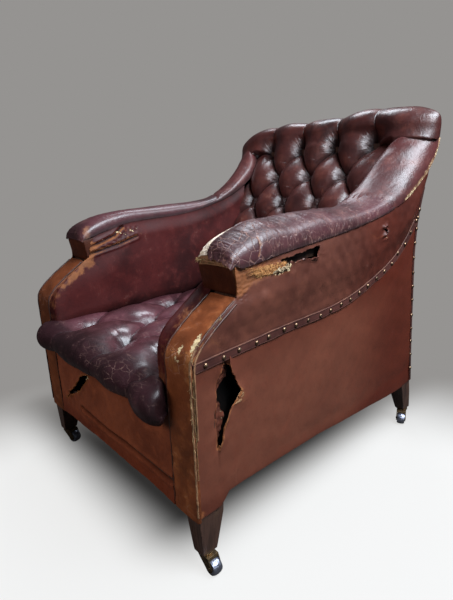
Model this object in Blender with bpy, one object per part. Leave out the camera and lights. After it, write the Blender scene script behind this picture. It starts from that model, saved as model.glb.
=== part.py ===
"""Worn leather club chair on castors: deep seat and back, roll-over arms, nailed side panels.

Metres, +Z up. The chair faces -Y, and "right" is +X, the right-hand side as seen from in front.
Heights are measured from the floor and depths from the front face of the arm facings. The
empty "chair" moves them all, so that the origin lies on the floor under the middle of the chair.
"""

import math

import bmesh
import bpy
from mathutils import Matrix, Vector

# Driving dimensions
HALF_WIDTH = 0.350
LEATHER = 0.003
GAP = 0.0003
FRONT_TO_MIDDLE = 0.4225
WOOD_FACE = HALF_WIDTH - LEATHER - GAP
FACING_INNER = 0.272
POST_INNER = 0.279
POST_DEPTH = 0.050
BACK_POST_INNER = 0.300
SEAT_HALF = 0.2705
BACK_HALF = 0.247
PAD_INNER = 0.249
INSIDE_ARM = 0.238
BAND_HALF = 0.010
BAND_THICK = 0.002

# Heights
LEG_END = 0.045
RAIL_TOP = 0.225
STRAP = 0.0015
STRAP_HALF = 0.025
PLATFORM = 0.332
PLATFORM_THICK = 0.002
SEAT_TOP = 0.428
LIP_RADIUS = 0.050
CORNER_DROP = 0.018
SEAT_SIDE = 0.421
SEAT_BACK = 0.600

# Rails across the chair, as the (depth, height) of two corners
FRONT_RAIL = ((0.0033, 0.140), (0.0298, RAIL_TOP))
BACK_RAIL = ((0.802, 0.165), (0.830, RAIL_TOP))
LOWER_BACK_RAIL = ((0.7722, 0.430), (0.797, 0.480))
TOP_BACK_RAIL = ((0.826, 0.808), (0.850, 0.848))

# Seat springs and straps
CROSS_DEPTHS = (0.16, 0.38, 0.60)
LONG_PLACES = (("left", -0.13), ("right", 0.13))
WIRE = 0.002
COIL_TURNS = 4
COIL_WAIST = 0.028
COIL_FLARE = 0.014

# Castors
WHEEL_RADIUS = 0.0175
WHEEL_HALF = 0.011
TRAIL = 0.022
AXLE_RADIUS = 0.003
PIVOT_RADIUS = 0.004
HORN_HALF = 0.0138
RIVET_HEAD = 0.001
HORN_TOP = 0.0414
HORN_UNDER = 0.0357
PIVOTS = {
    "front_right": ((0.332, 0.0265), 0),
    "front_left": ((-0.332, 0.0265), 15),
    "back_right": ((0.333, 0.8425), -65),
    "back_left": ((-0.333, 0.8425), -120),
}

# Side outlines, as (depth, height)
FACING = [
    (0.0, 0.132), (0.0, 0.450), (0.004, 0.470), (0.017, 0.488), (0.038, 0.506),
    (0.062, 0.524), (0.091, 0.543), (0.112, 0.556),
]
BAND = [
    (0.0035, 0.452), (0.10, 0.458), (0.25, 0.466), (0.40, 0.471), (0.50, 0.484),
    (0.59, 0.510), (0.67, 0.540), (0.735, 0.583), (0.786, 0.637),
]
REAR = [
    (0.847, 0.147), (0.828, 0.282), (0.809, 0.452), (0.800, 0.536), (0.800, 0.600),
    (0.804, 0.646), (0.823, 0.718), (0.854, 0.795), (0.880, 0.860),
]
SIDE_BOTTOM = [(0.0035, 0.140), (0.060, 0.143), (0.078, 0.167), (0.38, 0.163), (0.70, 0.141)]
ARM_SEAM = [
    (0.130, 0.619), (0.190, 0.626), (0.250, 0.633), (0.340, 0.641), (0.430, 0.649),
    (0.510, 0.659), (0.620, 0.677), (0.690, 0.697), (0.745, 0.717), (0.800, 0.750),
    (0.843, 0.797),
]
ARM_CREST = [
    (0.130, 0.642), (0.180, 0.676), (0.245, 0.687), (0.335, 0.689), (0.425, 0.689),
    (0.500, 0.691), (0.590, 0.702), (0.645, 0.723), (0.695, 0.753), (0.743, 0.793),
    (0.775, 0.822),
]
BACK_FOOT = (0.540, 0.437)
BACK_HEAD = (0.774, 0.830)
TOP_ROLL = ((0.849, 0.886), 0.046)
ROLL_HALF = 0.358
BACK_COLUMNS = [(-1.0, 0.45), (-0.985, 0.80), (-0.94, 0.96), (-0.88, 1.0), (0.0, 1.0),
                (0.88, 1.0), (0.94, 0.96), (0.985, 0.80), (1.0, 0.45)]
END_BLOCK = [(0.114, 0.5595), (0.122, 0.5595), (0.137, 0.640), (0.129, 0.640)]

# Damage, as outlines of what is gone
TEAR_REACH = 0.01
SIDE_TEAR = [
    (0.083, 0.443), (0.057, 0.392), (0.053, 0.346), (0.056, 0.270), (0.073, 0.317),
    (0.099, 0.353), (0.118, 0.374), (0.095, 0.419),
]
ARM_TEAR = [
    (0.148, 0.650), (0.150, 0.600), (0.216, 0.584), (0.255, 0.600), (0.309, 0.598),
    (0.345, 0.608), (0.358, 0.650),
]
SMALL_TEAR = [(0.566, 0.631), (0.577, 0.615), (0.604, 0.619), (0.629, 0.614), (0.631, 0.639)]
FRONT_TEAR = [
    (-0.060, 0.316), (-0.100, 0.270), (-0.156, 0.233), (-0.225, 0.194), (-0.190, 0.226),
    (-0.150, 0.256), (-0.110, 0.296),
]


def clear_scene():
    for obj in list(bpy.data.objects):
        bpy.data.objects.remove(obj, do_unlink=True)


def material(name, colour, roughness, metallic=0.0):
    made = bpy.data.materials.new(name)
    made.use_nodes = True
    shader = made.node_tree.nodes["Principled BSDF"]
    shader.inputs["Base Color"].default_value = (*colour, 1.0)
    shader.inputs["Roughness"].default_value = roughness
    shader.inputs["Metallic"].default_value = metallic
    return made


def empty(name, parent=None, location=(0, 0, 0), turn=0.0):
    made = bpy.data.objects.new(name, None)
    bpy.context.scene.collection.objects.link(made)
    made.parent = parent
    made.location = location
    made.rotation_euler.z = turn
    return made


def add_object(name, mesh, parent, smooth=False):
    if smooth:
        mesh.shade_smooth()
    made = bpy.data.objects.new(name, mesh)
    bpy.context.scene.collection.objects.link(made)
    made.parent = parent
    return made


def finished(name, shape, finish):
    """The worked shape as a mesh, its faces turned outwards. A cutter has no finish."""
    bmesh.ops.recalc_face_normals(shape, faces=shape.faces)
    mesh = bpy.data.meshes.new(name)
    shape.to_mesh(mesh)
    shape.free()
    if finish:
        mesh.materials.append(finish)
    return mesh


def mesh_from(name, points, faces, finish):
    shape = bmesh.new()
    corners = [shape.verts.new(point) for point in points]
    for face in faces:
        shape.faces.new([corners[index] for index in face])
    return finished(name, shape, finish)


def loft(name, rings, finish):
    """A closed body through rings of equally many points, flat at both ends."""
    count = len(rings[0])
    points = [point for ring in rings for point in ring]
    faces = [range(count), range(len(points) - count, len(points))]
    for step in range(len(rings) - 1):
        for side in range(count):
            after = (side + 1) % count
            low, high = step * count, (step + 1) * count
            faces.append((low + side, low + after, high + after, high + side))
    return mesh_from(name, points, faces, finish)


def prism(name, outline, near, far, finish, axis="X"):
    """An outline pushed from one place to another along X, or along Y for (x, z) outlines."""
    if axis == "X":
        rings = [[(place, a, b) for a, b in outline] for place in (near, far)]
    else:
        rings = [[(a, place, b) for a, b in outline] for place in (near, far)]
    return loft(name, rings, finish)


def box(name, low, high, finish):
    outline = [(low[1], low[2]), (high[1], low[2]), (high[1], high[2]), (low[1], high[2])]
    return prism(name, outline, low[0], high[0], finish)


def lathe(name, profile, steps, finish):
    """A profile of (radius, height) turned round Z. It may start and end on the axis."""
    shape = bmesh.new()
    corners = [shape.verts.new((radius, 0.0, height)) for radius, height in profile]
    edges = [shape.edges.new(pair) for pair in zip(corners, corners[1:])]
    if profile[0][0] > 0:
        edges.append(shape.edges.new((corners[-1], corners[0])))
    bmesh.ops.spin(shape, geom=corners + edges, axis=(0, 0, 1), cent=(0, 0, 0),
                   angle=math.tau, steps=steps, use_merge=True)
    bmesh.ops.remove_doubles(shape, verts=shape.verts, dist=1e-6)
    return finished(name, shape, finish)


def skin(name, outer, inner, finish):
    """A closed body between two grids of points of the same size."""
    rows, columns = len(outer), len(outer[0])
    points = [point for grid in (outer, inner) for row in grid for point in row]
    far = rows * columns
    faces = []
    for row in range(rows - 1):
        for column in range(columns - 1):
            first = row * columns + column
            quad = (first, first + 1, first + columns + 1, first + columns)
            faces.append(quad)
            faces.append(tuple(index + far for index in reversed(quad)))
    rim = [(0, column) for column in range(columns)]
    rim += [(row, columns - 1) for row in range(1, rows)]
    rim += [(rows - 1, column) for column in range(columns - 2, -1, -1)]
    rim += [(row, 0) for row in range(rows - 2, 0, -1)]
    loop = [row * columns + column for row, column in rim]
    for here, there in zip(loop, loop[1:] + loop[:1]):
        faces.append((here, there, there + far, here + far))
    return mesh_from(name, points, faces, finish)


def inset_rows(rows, distance):
    """The grid moved along its own normals. A positive distance goes to the right-hand side."""
    moved = []
    for row_index, row in enumerate(rows):
        above = rows[min(row_index + 1, len(rows) - 1)]
        below = rows[max(row_index - 1, 0)]
        line = []
        for index, point in enumerate(row):
            across = Vector(row[min(index + 1, len(row) - 1)]) - Vector(row[max(index - 1, 0)])
            along = Vector(above[index]) - Vector(below[index])
            line.append(Vector(point) + across.cross(along).normalized() * distance)
        moved.append(line)
    return moved


def inset_path(path, distance):
    """A (depth, height) path moved to its right-hand side, going along it."""
    moved = []
    for index, (depth, height) in enumerate(path):
        ahead = path[min(index + 1, len(path) - 1)]
        behind = path[max(index - 1, 0)]
        along = Vector((ahead[0] - behind[0], ahead[1] - behind[1])).normalized()
        moved.append((depth + along.y * distance, height - along.x * distance))
    return moved


def strip(path, half):
    """The outline of a band of even width along a path."""
    return inset_path(path, half) + inset_path(path, -half)[::-1]


def arc(centre, radius, start, end, steps):
    """Points of (depth, height) round a centre, with angles in degrees from +depth."""
    turns = [math.radians(start + (end - start) * step / steps) for step in range(steps + 1)]
    return [(centre[0] + radius * math.cos(t), centre[1] + radius * math.sin(t)) for t in turns]


def between(path, height):
    """The depth of a rising path at a height."""
    height = max(height, path[0][1])
    for (depth_a, height_a), (depth_b, height_b) in zip(path, path[1:]):
        if height_a <= height <= height_b:
            share = (height - height_a) / (height_b - height_a)
            return depth_a + (depth_b - depth_a) * share
    return path[-1][0]


def boolean(target, tool, operation):
    """Joins or cuts with a hidden helper object."""
    tool.hide_render = True
    tool.display_type = "WIRE"
    change = target.modifiers.new(operation.title(), "BOOLEAN")
    change.operation = operation
    change.object = tool


def tear(target, name, outline, place, parent, axis="X"):
    """Cuts a tear's outline right through a panel that lies at a place along the axis."""
    cut = prism(name, outline, place - TEAR_REACH, place + TEAR_REACH, None, axis)
    boolean(target, add_object(name, cut, parent), "DIFFERENCE")


def both_sides(name, mesh, parent, smooth=False):
    """The right-hand piece as drawn, and its mirror image on the left with a mesh of its own."""
    right = add_object(name + "_right", mesh, parent, smooth)
    turned = mesh.copy()
    turned.name = name + "_left"
    turned.transform(Matrix.Scale(-1, 4, (1, 0, 0)))
    turned.flip_normals()
    left = add_object(name + "_left", turned, parent, smooth)
    return right, left


# Castors

def castor_plate(name, finish):
    """The screwed plate with the riveted pivot pin that the horn turns on."""
    head = PIVOT_RADIUS + 0.0018
    profile = [
        (0.0, HORN_UNDER - 0.0022), (head, HORN_UNDER - 0.0022), (head, HORN_UNDER - GAP),
        (PIVOT_RADIUS, HORN_UNDER - GAP), (PIVOT_RADIUS, HORN_TOP + GAP),
        (0.0165, HORN_TOP + GAP), (0.0165, LEG_END - GAP), (0.0, LEG_END - GAP),
    ]
    return lathe(name, profile, 20, finish)


def castor_horn(name, parent, finish):
    """The forked arm, slotted for the wheel and bored for the pivot, with its riveted axle."""
    eye = arc((TRAIL, WHEEL_RADIUS), 0.0085, -150, 30, 8)
    outline = [(-0.0095, HORN_UNDER), *eye, (TRAIL - 0.001, HORN_TOP), (-0.0095, HORN_TOP)]
    horn = add_object(name, prism(name, outline, -HORN_HALF, HORN_HALF, finish, "Y"), parent)
    slot_half = WHEEL_HALF + GAP
    slot = box(name + "_slot", (-0.02, -slot_half, 0.0), (0.05, slot_half, HORN_UNDER), None)
    boolean(horn, add_object(name + "_slot", slot, parent), "DIFFERENCE")
    hole = round_bar(name + "_hole", PIVOT_RADIUS + GAP, 0.01)
    hole = add_object(name + "_hole", hole, parent)
    hole.location.z = HORN_TOP
    boolean(horn, hole, "DIFFERENCE")
    axle = round_bar(name + "_axle", AXLE_RADIUS, HORN_HALF + RIVET_HEAD)
    axle = add_object(name + "_axle", axle, parent)
    axle.location = (TRAIL, 0.0, WHEEL_RADIUS)
    axle.rotation_euler.x = math.pi / 2
    boolean(horn, axle, "UNION")
    return horn


def round_bar(name, radius, half):
    profile = [(0.0, -half), (radius, -half), (radius, half), (0.0, half)]
    return lathe(name, profile, 16, None)


def castor_wheel(name, parent, finish):
    bore, edge, shoulder = AXLE_RADIUS + GAP, 0.0150, 0.0168
    profile = [
        (bore, -WHEEL_HALF), (edge, -WHEEL_HALF), (shoulder, -0.0065), (WHEEL_RADIUS, 0.0),
        (shoulder, 0.0065), (edge, WHEEL_HALF), (bore, WHEEL_HALF),
    ]
    wheel = add_object(name, lathe(name, profile, 24, finish), parent, smooth=True)
    wheel.location = (TRAIL, 0.0, WHEEL_RADIUS)
    wheel.rotation_euler.x = math.pi / 2
    return wheel


def castors(chair, brass, iron):
    for place, ((across, depth), turn) in PIVOTS.items():
        plate = castor_plate("castor_plate_" + place, brass)
        add_object("castor_plate_" + place, plate, chair).location = (across, depth, 0.0)
        swivel = empty("castor_swivel_" + place, chair, (across, depth, 0.0),
                       math.radians(turn))
        castor_horn("castor_horn_" + place, swivel, brass)
        castor_wheel("castor_wheel_" + place, swivel, iron)


# Frame

def post(name, sections, finish):
    """A post through level sections of (height, front, back, inner, outer)."""
    rings = [
        [(inner, front, z), (outer, front, z), (outer, back, z), (inner, back, z)]
        for z, front, back, inner, outer in sections
    ]
    return loft(name, rings, finish)


def front_post(finish):
    """The front leg, the post above it and its sloped top that carries the arm rail."""
    sections = [
        (LEG_END, 0.008, 0.045, 0.316, 0.3455),
        (0.052, 0.0075, 0.047, 0.314, 0.3457),
        (0.125, 0.0035, 0.065, 0.304, WOOD_FACE),
        (0.145, 0.0035, 0.066, 0.292, WOOD_FACE),
        (0.165, 0.0035, 0.0523, POST_INNER, WOOD_FACE),
    ]
    for depth, height in inset_path(FACING, LEATHER + GAP)[1:]:
        sections.append((height, depth, depth + POST_DEPTH, POST_INNER, WOOD_FACE))
    sections.append((0.5590, 0.1232, 0.170, POST_INNER, WOOD_FACE))
    sections.append((0.5725, 0.1268, 0.172, POST_INNER, WOOD_FACE))
    return post("front_post", sections, finish)


def back_post(finish):
    sections = [
        (LEG_END, 0.828, 0.866, 0.318, 0.3455),
        (0.052, 0.826, 0.865, 0.316, 0.3457),
        (0.100, 0.812, 0.857, 0.306, WOOD_FACE),
        (0.140, 0.800, 0.8485, BACK_POST_INNER, WOOD_FACE),
    ]
    for height in (0.146, 0.282, 0.452, 0.536, 0.600, 0.646, 0.718, 0.795, 0.850):
        back = between(REAR, height) - LEATHER - 0.0012
        thick, outer = (0.040, 0.342) if height > 0.7 else (0.044, WOOD_FACE)
        sections.append((height, back - thick, back, BACK_POST_INNER, outer))
    return post("back_post", sections, finish)


def cross_rail(name, reach, corners, chair, wood):
    (front, low), (back, high) = corners
    rail = box(name, (-reach, front, low), (reach, back, high), wood)
    add_object(name, rail, chair)


def frame(chair, wood):
    both_sides("front_post", front_post(wood), chair)
    both_sides("back_post", back_post(wood), chair)
    cross_rail("front_rail", POST_INNER - GAP, FRONT_RAIL, chair, wood)
    cross_rail("back_rail", BACK_POST_INNER - GAP, BACK_RAIL, chair, wood)
    cross_rail("lower_back_rail", BACK_POST_INNER - GAP, LOWER_BACK_RAIL, chair, wood)
    cross_rail("top_back_rail", BACK_POST_INNER - GAP, TOP_BACK_RAIL, chair, wood)
    ends = (0.0526, 0.7860)
    outline = [(ends[0], 0.173), (0.40, 0.168), (ends[1], 0.150), (ends[1], RAIL_TOP),
               (ends[0], RAIL_TOP)]
    both_sides("side_rail", prism("side_rail", outline, 0.319, WOOD_FACE, wood), chair)
    path = [(0.0585, 0.4556), *BAND[1:-2], (0.7437, 0.5925)]
    rail = prism("middle_rail", strip(path, 0.013), 0.322, WOOD_FACE, wood)
    both_sides("middle_rail", rail, chair)
    path = [(depth, height - 0.027) for depth, height in ARM_SEAM[1:-3]]
    path = [(0.1345, 0.5874), *path, (0.7602, 0.6880)]
    both_sides("arm_rail", prism("arm_rail", strip(path, 0.0145), 0.286, 0.336, wood), chair)


# Seat support

def spring(name, across, depth, finish):
    """A coil spring with a narrow waist, of round wire."""
    steps, sides = 10, 5
    low = RAIL_TOP + 2 * STRAP + 4 * GAP + WIRE
    high = PLATFORM - GAP - WIRE
    rings = []
    for step in range(COIL_TURNS * steps + 1):
        share = step / (COIL_TURNS * steps)
        angle = math.tau * step / steps
        radius = COIL_WAIST + COIL_FLARE * abs(2 * share - 1)
        outward = Vector((math.cos(angle), math.sin(angle), 0.0))
        centre = Vector((across, depth, low + (high - low) * share)) + outward * radius
        ring = []
        for side in range(sides):
            around = math.tau * (side + 0.25) / sides
            upward = Vector((0.0, 0.0, math.sin(around)))
            ring.append(centre + WIRE * (outward * math.cos(around) + upward))
        rings.append(ring)
    return loft(name, rings, finish)


def seat_support(chair, steel, webbing):
    low = RAIL_TOP + GAP
    for number, depth in enumerate(CROSS_DEPTHS, 1):
        name = f"cross_strap_{number}"
        strap = box(name, (-0.340, depth - STRAP_HALF, low),
                    (0.340, depth + STRAP_HALF, low + STRAP), webbing)
        add_object(name, strap, chair)
    low += STRAP + GAP
    for side, across in LONG_PLACES:
        strap = box("long_strap_" + side, (across - STRAP_HALF, 0.006, low),
                    (across + STRAP_HALF, 0.826, low + STRAP), webbing)
        add_object("long_strap_" + side, strap, chair)
        for number, depth in enumerate(CROSS_DEPTHS, 1):
            name = f"seat_spring_{side}_{number}"
            add_object(name, spring(name, across, depth, steel), chair)
    platform = box("spring_platform", (-0.262, 0.012, PLATFORM),
                   (0.262, 0.760, PLATFORM + PLATFORM_THICK), webbing)
    add_object("spring_platform", platform, chair)


# Upholstery

def seat_line(radius, share):
    """The seat's side outline (depth, height) from the back edge forward and round the lip."""
    centre = (0.0, SEAT_TOP - LIP_RADIUS)
    line = [(depth, centre[1] + radius) for depth in (SEAT_BACK, 0.45, 0.32, 0.20, 0.09)]
    line += arc(centre, radius, 90, 258, 8)
    drop = CORNER_DROP * share ** 4
    return [(depth, height - drop * max(0.0, (height - centre[1]) / radius))
            for depth, height in line]


def seat(chair, leather, hair):
    shares = [column / 5 - 1 for column in range(11)]
    grids = [
        [[(SEAT_HALF * share, *place) for place in seat_line(radius, share)] for share in shares]
        for radius in (LIP_RADIUS, LIP_RADIUS - LEATHER)
    ]
    add_object("seat_cover", skin("seat_cover", *grids, leather), chair, smooth=True)
    floor = PLATFORM + PLATFORM_THICK + GAP
    rings = []
    for share in shares:
        line = seat_line(LIP_RADIUS - LEATHER - 4 * GAP, share)[:-3]
        line += [(-0.015, floor), (SEAT_BACK, floor)]
        rings.append([(0.985 * SEAT_HALF * share, *place) for place in line])
    add_object("seat_stuffing", loft("seat_stuffing", rings, hair), chair)


def back_path(inset):
    """The back's middle outline: up the front, over the top roll and down behind it."""
    centre, radius = TOP_ROLL
    front = [BACK_FOOT, (0.600, 0.538), (0.660, 0.639), (0.718, 0.737), BACK_HEAD]
    shift = Vector((BACK_HEAD[1] - BACK_FOOT[1], BACK_FOOT[0] - BACK_HEAD[0])).normalized()
    front = [(y + shift.x * inset, z + shift.y * inset) for y, z in front]
    return front, arc(centre, radius - inset, 215, -37, 12)


def back_rows(inset):
    """Rows across the back's front, then round the top roll, which is rounded at its ends."""
    front, roll = back_path(inset)
    rows = [[(BACK_HALF * share, *place) for share, _ in BACK_COLUMNS] for place in front]
    middle = Vector(TOP_ROLL[0])
    for place in roll:
        reach = Vector(place) - middle
        rows.append([(ROLL_HALF * share, *(middle + reach * size))
                     for share, size in BACK_COLUMNS])
    return rows


def back(chair, leather, hair):
    outer, inner = back_rows(0.0), back_rows(LEATHER)
    add_object("back_cover", skin("back_cover", outer, inner, leather), chair, smooth=True)
    front, roll = back_path(LEATHER + 2 * GAP)
    half = BACK_HALF - 0.004
    face, base = [], []
    for depth, height in [*front, *roll[:4]]:
        rear = 0.7645 + (0.8252 - 0.7645) * (height - 0.43) / (0.86 - 0.43)
        face.append([(half * (column / 2 - 1), depth, height) for column in range(5)])
        base.append([(half * (column / 2 - 1), rear, height) for column in range(5)])
    add_object("back_stuffing", skin("back_stuffing", face, base, hair), chair)
    outline = REAR + inset_path(REAR, -LEATHER)[::-1]
    reach = HALF_WIDTH - LEATHER - GAP
    add_object("outside_back", prism("outside_back", outline, -reach, reach, leather), chair)


def arm_rows(inset):
    """The arm pad and the back's side roll: one long roll, rounded across."""
    centre = (PAD_INNER + HALF_WIDTH) / 2
    half = (HALF_WIDTH - PAD_INNER) / 2 - inset
    rows = []
    for seam, crest in zip(ARM_SEAM, ARM_CREST):
        low, high = Vector(seam), Vector(crest)
        high -= (high - low).normalized() * inset
        row = []
        for step in range(9):
            angle = math.pi * step / 8
            place = low + (high - low) * abs(math.sin(angle)) ** 0.7
            row.append(Vector((centre - half * math.cos(angle), place.x, place.y)))
        rows.append(row)
    return rows


def arm_filling(name, finish):
    """The stuffing under the pad, cut off above the arm rail and in front of the back post."""
    rows = arm_rows(LEATHER + 4 * GAP)[1:]
    for row in rows:
        cut = 0.92 if row[0].y > 0.68 else 0.20
        row[0] = row[0].lerp(row[1], cut)
        row[-1] = row[-1].lerp(row[-2], cut)
    return loft(name, rows, finish)


def arm_pads(chair, leather, hair):
    cover = skin("arm_pad", arm_rows(0.0), arm_rows(LEATHER), leather)
    pads = both_sides("arm_pad", cover, chair, smooth=True)
    block = prism("arm_end", END_BLOCK, PAD_INNER - 0.003, HALF_WIDTH, None)
    for pad, end in zip(pads, both_sides("arm_end", block, chair)):
        boolean(pad, end, "UNION")
    both_sides("arm_stuffing", arm_filling("arm_stuffing", hair), chair)


def arm_front():
    """Where the arm's side panels end in front: along the facing, then round the end block."""
    return inset_path(FACING, LEATHER + GAP)[2:] + [(0.1230, 0.5588), (0.1338, 0.6165)]


def side_panels(chair, leather, tan, russet, band_leather):
    face = (HALF_WIDTH - LEATHER, HALF_WIDTH)
    outline = FACING + inset_path(FACING, LEATHER)[::-1]
    both_sides("arm_facing", prism("arm_facing", outline, FACING_INNER, HALF_WIDTH, tan), chair)

    under_seam = [(depth, height - 0.0012) for depth, height in ARM_SEAM]
    band_line = [*BAND, (0.8035, 0.655)]
    behind = [(depth - GAP, height) for depth, height in REAR]
    outline = [*arm_front(), *under_seam[1:], (0.868, 0.852), (0.8765, 0.857), behind[7],
               behind[6], (0.806, 0.658), *inset_path(band_line, -GAP)[::-1]]
    panel = prism("outside_arm", outline, *face, leather)
    right, _ = both_sides("outside_arm", panel, chair)
    tear(right, "arm_tear", ARM_TEAR, HALF_WIDTH, chair)
    tear(right, "small_arm_tear", SMALL_TEAR, HALF_WIDTH, chair)

    outline = [*SIDE_BOTTOM, *behind[:6], *inset_path(band_line, GAP)[::-1]]
    panel = prism("outside_side", outline, *face, russet)
    right, _ = both_sides("outside_side", panel, chair)
    tear(right, "side_tear", SIDE_TEAR, HALF_WIDTH, chair)

    band = prism("nailed_band", strip([*BAND, (0.799, 0.651)], BAND_HALF),
                 HALF_WIDTH + GAP, HALF_WIDTH + GAP + BAND_THICK, band_leather)
    both_sides("nailed_band", band, chair)

    outline = [(0.0, SEAT_SIDE), *FACING[1:], (0.1230, 0.5588), (0.1338, 0.6165),
               *under_seam[1:-4], (0.684, 0.6915), (0.654, 0.639), (0.594, 0.538),
               (0.524, SEAT_SIDE)]
    panel = prism("inside_arm", outline, INSIDE_ARM, FACING_INNER - 0.0005, leather)
    both_sides("inside_arm", panel, chair)


def front_border(chair, russet):
    reach = FACING_INNER - GAP
    outline = [(-reach, 0.132), (-0.23, 0.137), (0.23, 0.137), (reach, 0.132),
               (reach, 0.3335), (-reach, 0.3335)]
    panel = prism("front_border", outline, 0.0, LEATHER, russet, "Y")
    border = add_object("front_border", panel, chair)
    tear(border, "front_tear", FRONT_TEAR, 0.0, chair, "Y")


def main():
    clear_scene()
    leather = material("maroon leather", (0.090, 0.022, 0.018), 0.38)
    tan = material("tan leather", (0.300, 0.120, 0.050), 0.50)
    russet = material("russet leather", (0.160, 0.045, 0.028), 0.42)
    dark = material("dark band leather", (0.060, 0.018, 0.014), 0.40)
    wood = material("dark stained wood", (0.045, 0.022, 0.014), 0.45)
    brass = material("dull brass", (0.150, 0.110, 0.070), 0.40, 1.0)
    iron = material("worn steel", (0.350, 0.340, 0.330), 0.35, 1.0)
    steel = material("spring steel", (0.300, 0.290, 0.280), 0.40, 1.0)
    webbing = material("jute webbing", (0.330, 0.240, 0.140), 0.90)
    hair = material("horsehair stuffing", (0.250, 0.160, 0.090), 0.95)
    chair = empty("chair", location=(0.0, -FRONT_TO_MIDDLE, 0.0))
    castors(chair, brass, iron)
    frame(chair, wood)
    seat_support(chair, steel, webbing)
    seat(chair, leather, hair)
    back(chair, leather, hair)
    arm_pads(chair, leather, hair)
    side_panels(chair, leather, tan, russet, dark)
    front_border(chair, russet)


main()
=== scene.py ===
"""Looks of the worn leather club chair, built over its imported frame.

Metres, +Z up, the chair faces -Y. Lines and outlines below give (depth, height). Depth runs
back from the front face of the arm facings: points_of() reads points with it, and
place_points() moves them back into the frame.
"""

import math

import bpy
import numpy as np
from mathutils import Matrix, Vector


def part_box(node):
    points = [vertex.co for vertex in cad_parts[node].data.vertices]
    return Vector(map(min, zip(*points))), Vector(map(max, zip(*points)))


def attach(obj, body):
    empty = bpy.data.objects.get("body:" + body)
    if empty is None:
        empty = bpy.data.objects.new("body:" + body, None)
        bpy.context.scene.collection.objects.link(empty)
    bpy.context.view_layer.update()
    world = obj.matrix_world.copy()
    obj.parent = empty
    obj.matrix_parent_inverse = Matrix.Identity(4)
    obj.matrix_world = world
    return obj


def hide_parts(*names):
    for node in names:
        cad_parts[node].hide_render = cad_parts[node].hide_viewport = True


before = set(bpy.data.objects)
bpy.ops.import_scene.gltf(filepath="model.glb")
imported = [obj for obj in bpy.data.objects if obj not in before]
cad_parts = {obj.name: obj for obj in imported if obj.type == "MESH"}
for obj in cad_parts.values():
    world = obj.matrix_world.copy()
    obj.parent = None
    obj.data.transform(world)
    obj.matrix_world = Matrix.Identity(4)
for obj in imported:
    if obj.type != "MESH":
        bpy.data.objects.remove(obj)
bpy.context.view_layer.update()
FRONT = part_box("arm_facing_right")[0].y
SIDES = (("right", 1), ("left", -1))


# Lines and surfaces

def smoothstep(value, low, high):
    share = np.clip((value - low) / (high - low), 0, 1)
    return share * share * (3 - 2 * share)


def hill(away, width):
    """1 where away is nothing, falling off smoothly on both sides over that width."""
    return np.exp(-(away / width) ** 2)


def spline(points, places):
    """Points of a smooth line through the given ones; places count along them from 0."""
    points = np.asarray(points, float)
    padded = np.vstack([2 * points[0] - points[1], points, 2 * points[-1] - points[-2]])
    places = np.clip(places, 0, len(points) - 1)
    first = np.minimum(places.astype(int), len(points) - 2)
    t = (places - first)[..., None]
    a, b, c, d = (padded[first + step] for step in range(4))
    return 0.5 * (2 * b + (c - a) * t + (2 * a - 5 * b + 4 * c - d) * t ** 2
                  + (3 * b - a - 3 * c + d) * t ** 3)


class Line:
    """A smooth line through points, read by its share of length."""

    def __init__(self, points, smooth=True):
        if smooth:
            points = spline(points, np.linspace(0, len(points) - 1, 20 * len(points)))
        self.points = np.asarray(points, float)
        steps = np.linalg.norm(np.diff(self.points, axis=0), axis=1)
        self.reach = np.concatenate([[0], np.cumsum(steps)])
        self.length = self.reach[-1]

    def at(self, share):
        where = np.asarray(share, float) * self.length
        return np.stack([np.interp(where, self.reach, c) for c in self.points.T], -1)

    def side(self, share):
        """The unit direction to the left of a flat line."""
        share = np.asarray(share, float)
        way = self.at(np.clip(share + 0.004, 0, 1)) - self.at(np.clip(share - 0.004, 0, 1))
        way /= np.linalg.norm(way, axis=-1, keepdims=True)
        return np.stack([-way[..., 1], way[..., 0]], -1)


def patch(low, high, near, far, u, v):
    """The surface stretched between four lines."""
    u, v = u[:, None], v[:, None]
    sides = (1 - v) * low.at(u[:, 0]) + v * high.at(u[:, 0])
    ends = (1 - u) * near.at(v[:, 0]) + u * far.at(v[:, 0])
    corners = ((1 - u) * (1 - v) * low.at(0) + u * (1 - v) * low.at(1)
               + (1 - u) * v * high.at(0) + u * v * high.at(1))
    return sides + ends - corners


def between(first, second, u, v):
    """The surface stretched between two lines."""
    return first.at(v) * (1 - u[:, None]) + second.at(v) * u[:, None]


def uneven(points, size, seed):
    """Smooth unevenness between about -1 and 1, in lumps of that size."""
    made, waves = np.random.default_rng(seed), 8
    points = np.asarray(points, float)
    total = np.zeros(len(points))
    for _ in range(waves):
        way = made.normal(size=points.shape[1])
        way /= np.linalg.norm(way) * size * made.uniform(0.35, 0.9)
        total += np.sin(points @ way * math.pi + made.uniform(0, 6.28))
    return total / waves ** 0.5 / 1.2


def nearest_on(points, line):
    """How far each point is from a broken line, and the nearest spot on it."""
    points, line = np.asarray(points, float), np.asarray(line, float)
    best, spots = np.full(len(points), 9.0), points.copy()
    for a, b in zip(line[:-1], line[1:]):
        way = b - a
        share = np.clip(((points - a) @ way) / max(way @ way, 1e-12), 0, 1)[:, None]
        away = np.linalg.norm(points - a - share * way, axis=1)
        closer = away < best
        best[closer], spots[closer] = away[closer], (a + share * way)[closer]
    return best, spots


def from_line(points, line):
    return nearest_on(points, line)[0]


def closed(outline):
    """An outline with its first point again at its end."""
    return [*outline, outline[0]]


def inside(points, outline):
    """Which flat points lie inside an outline."""
    y, z = points[:, 0], points[:, 1]
    found = np.zeros(len(points), bool)
    for (y0, z0), (y1, z1) in zip(outline, [*outline[1:], outline[0]]):
        if z0 != z1:
            crosses = (z0 > z) != (z1 > z)
            found ^= crosses & (y < (y1 - y0) * (z - z0) / (z1 - z0) + y0)
    return found


# Pieces

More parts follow.
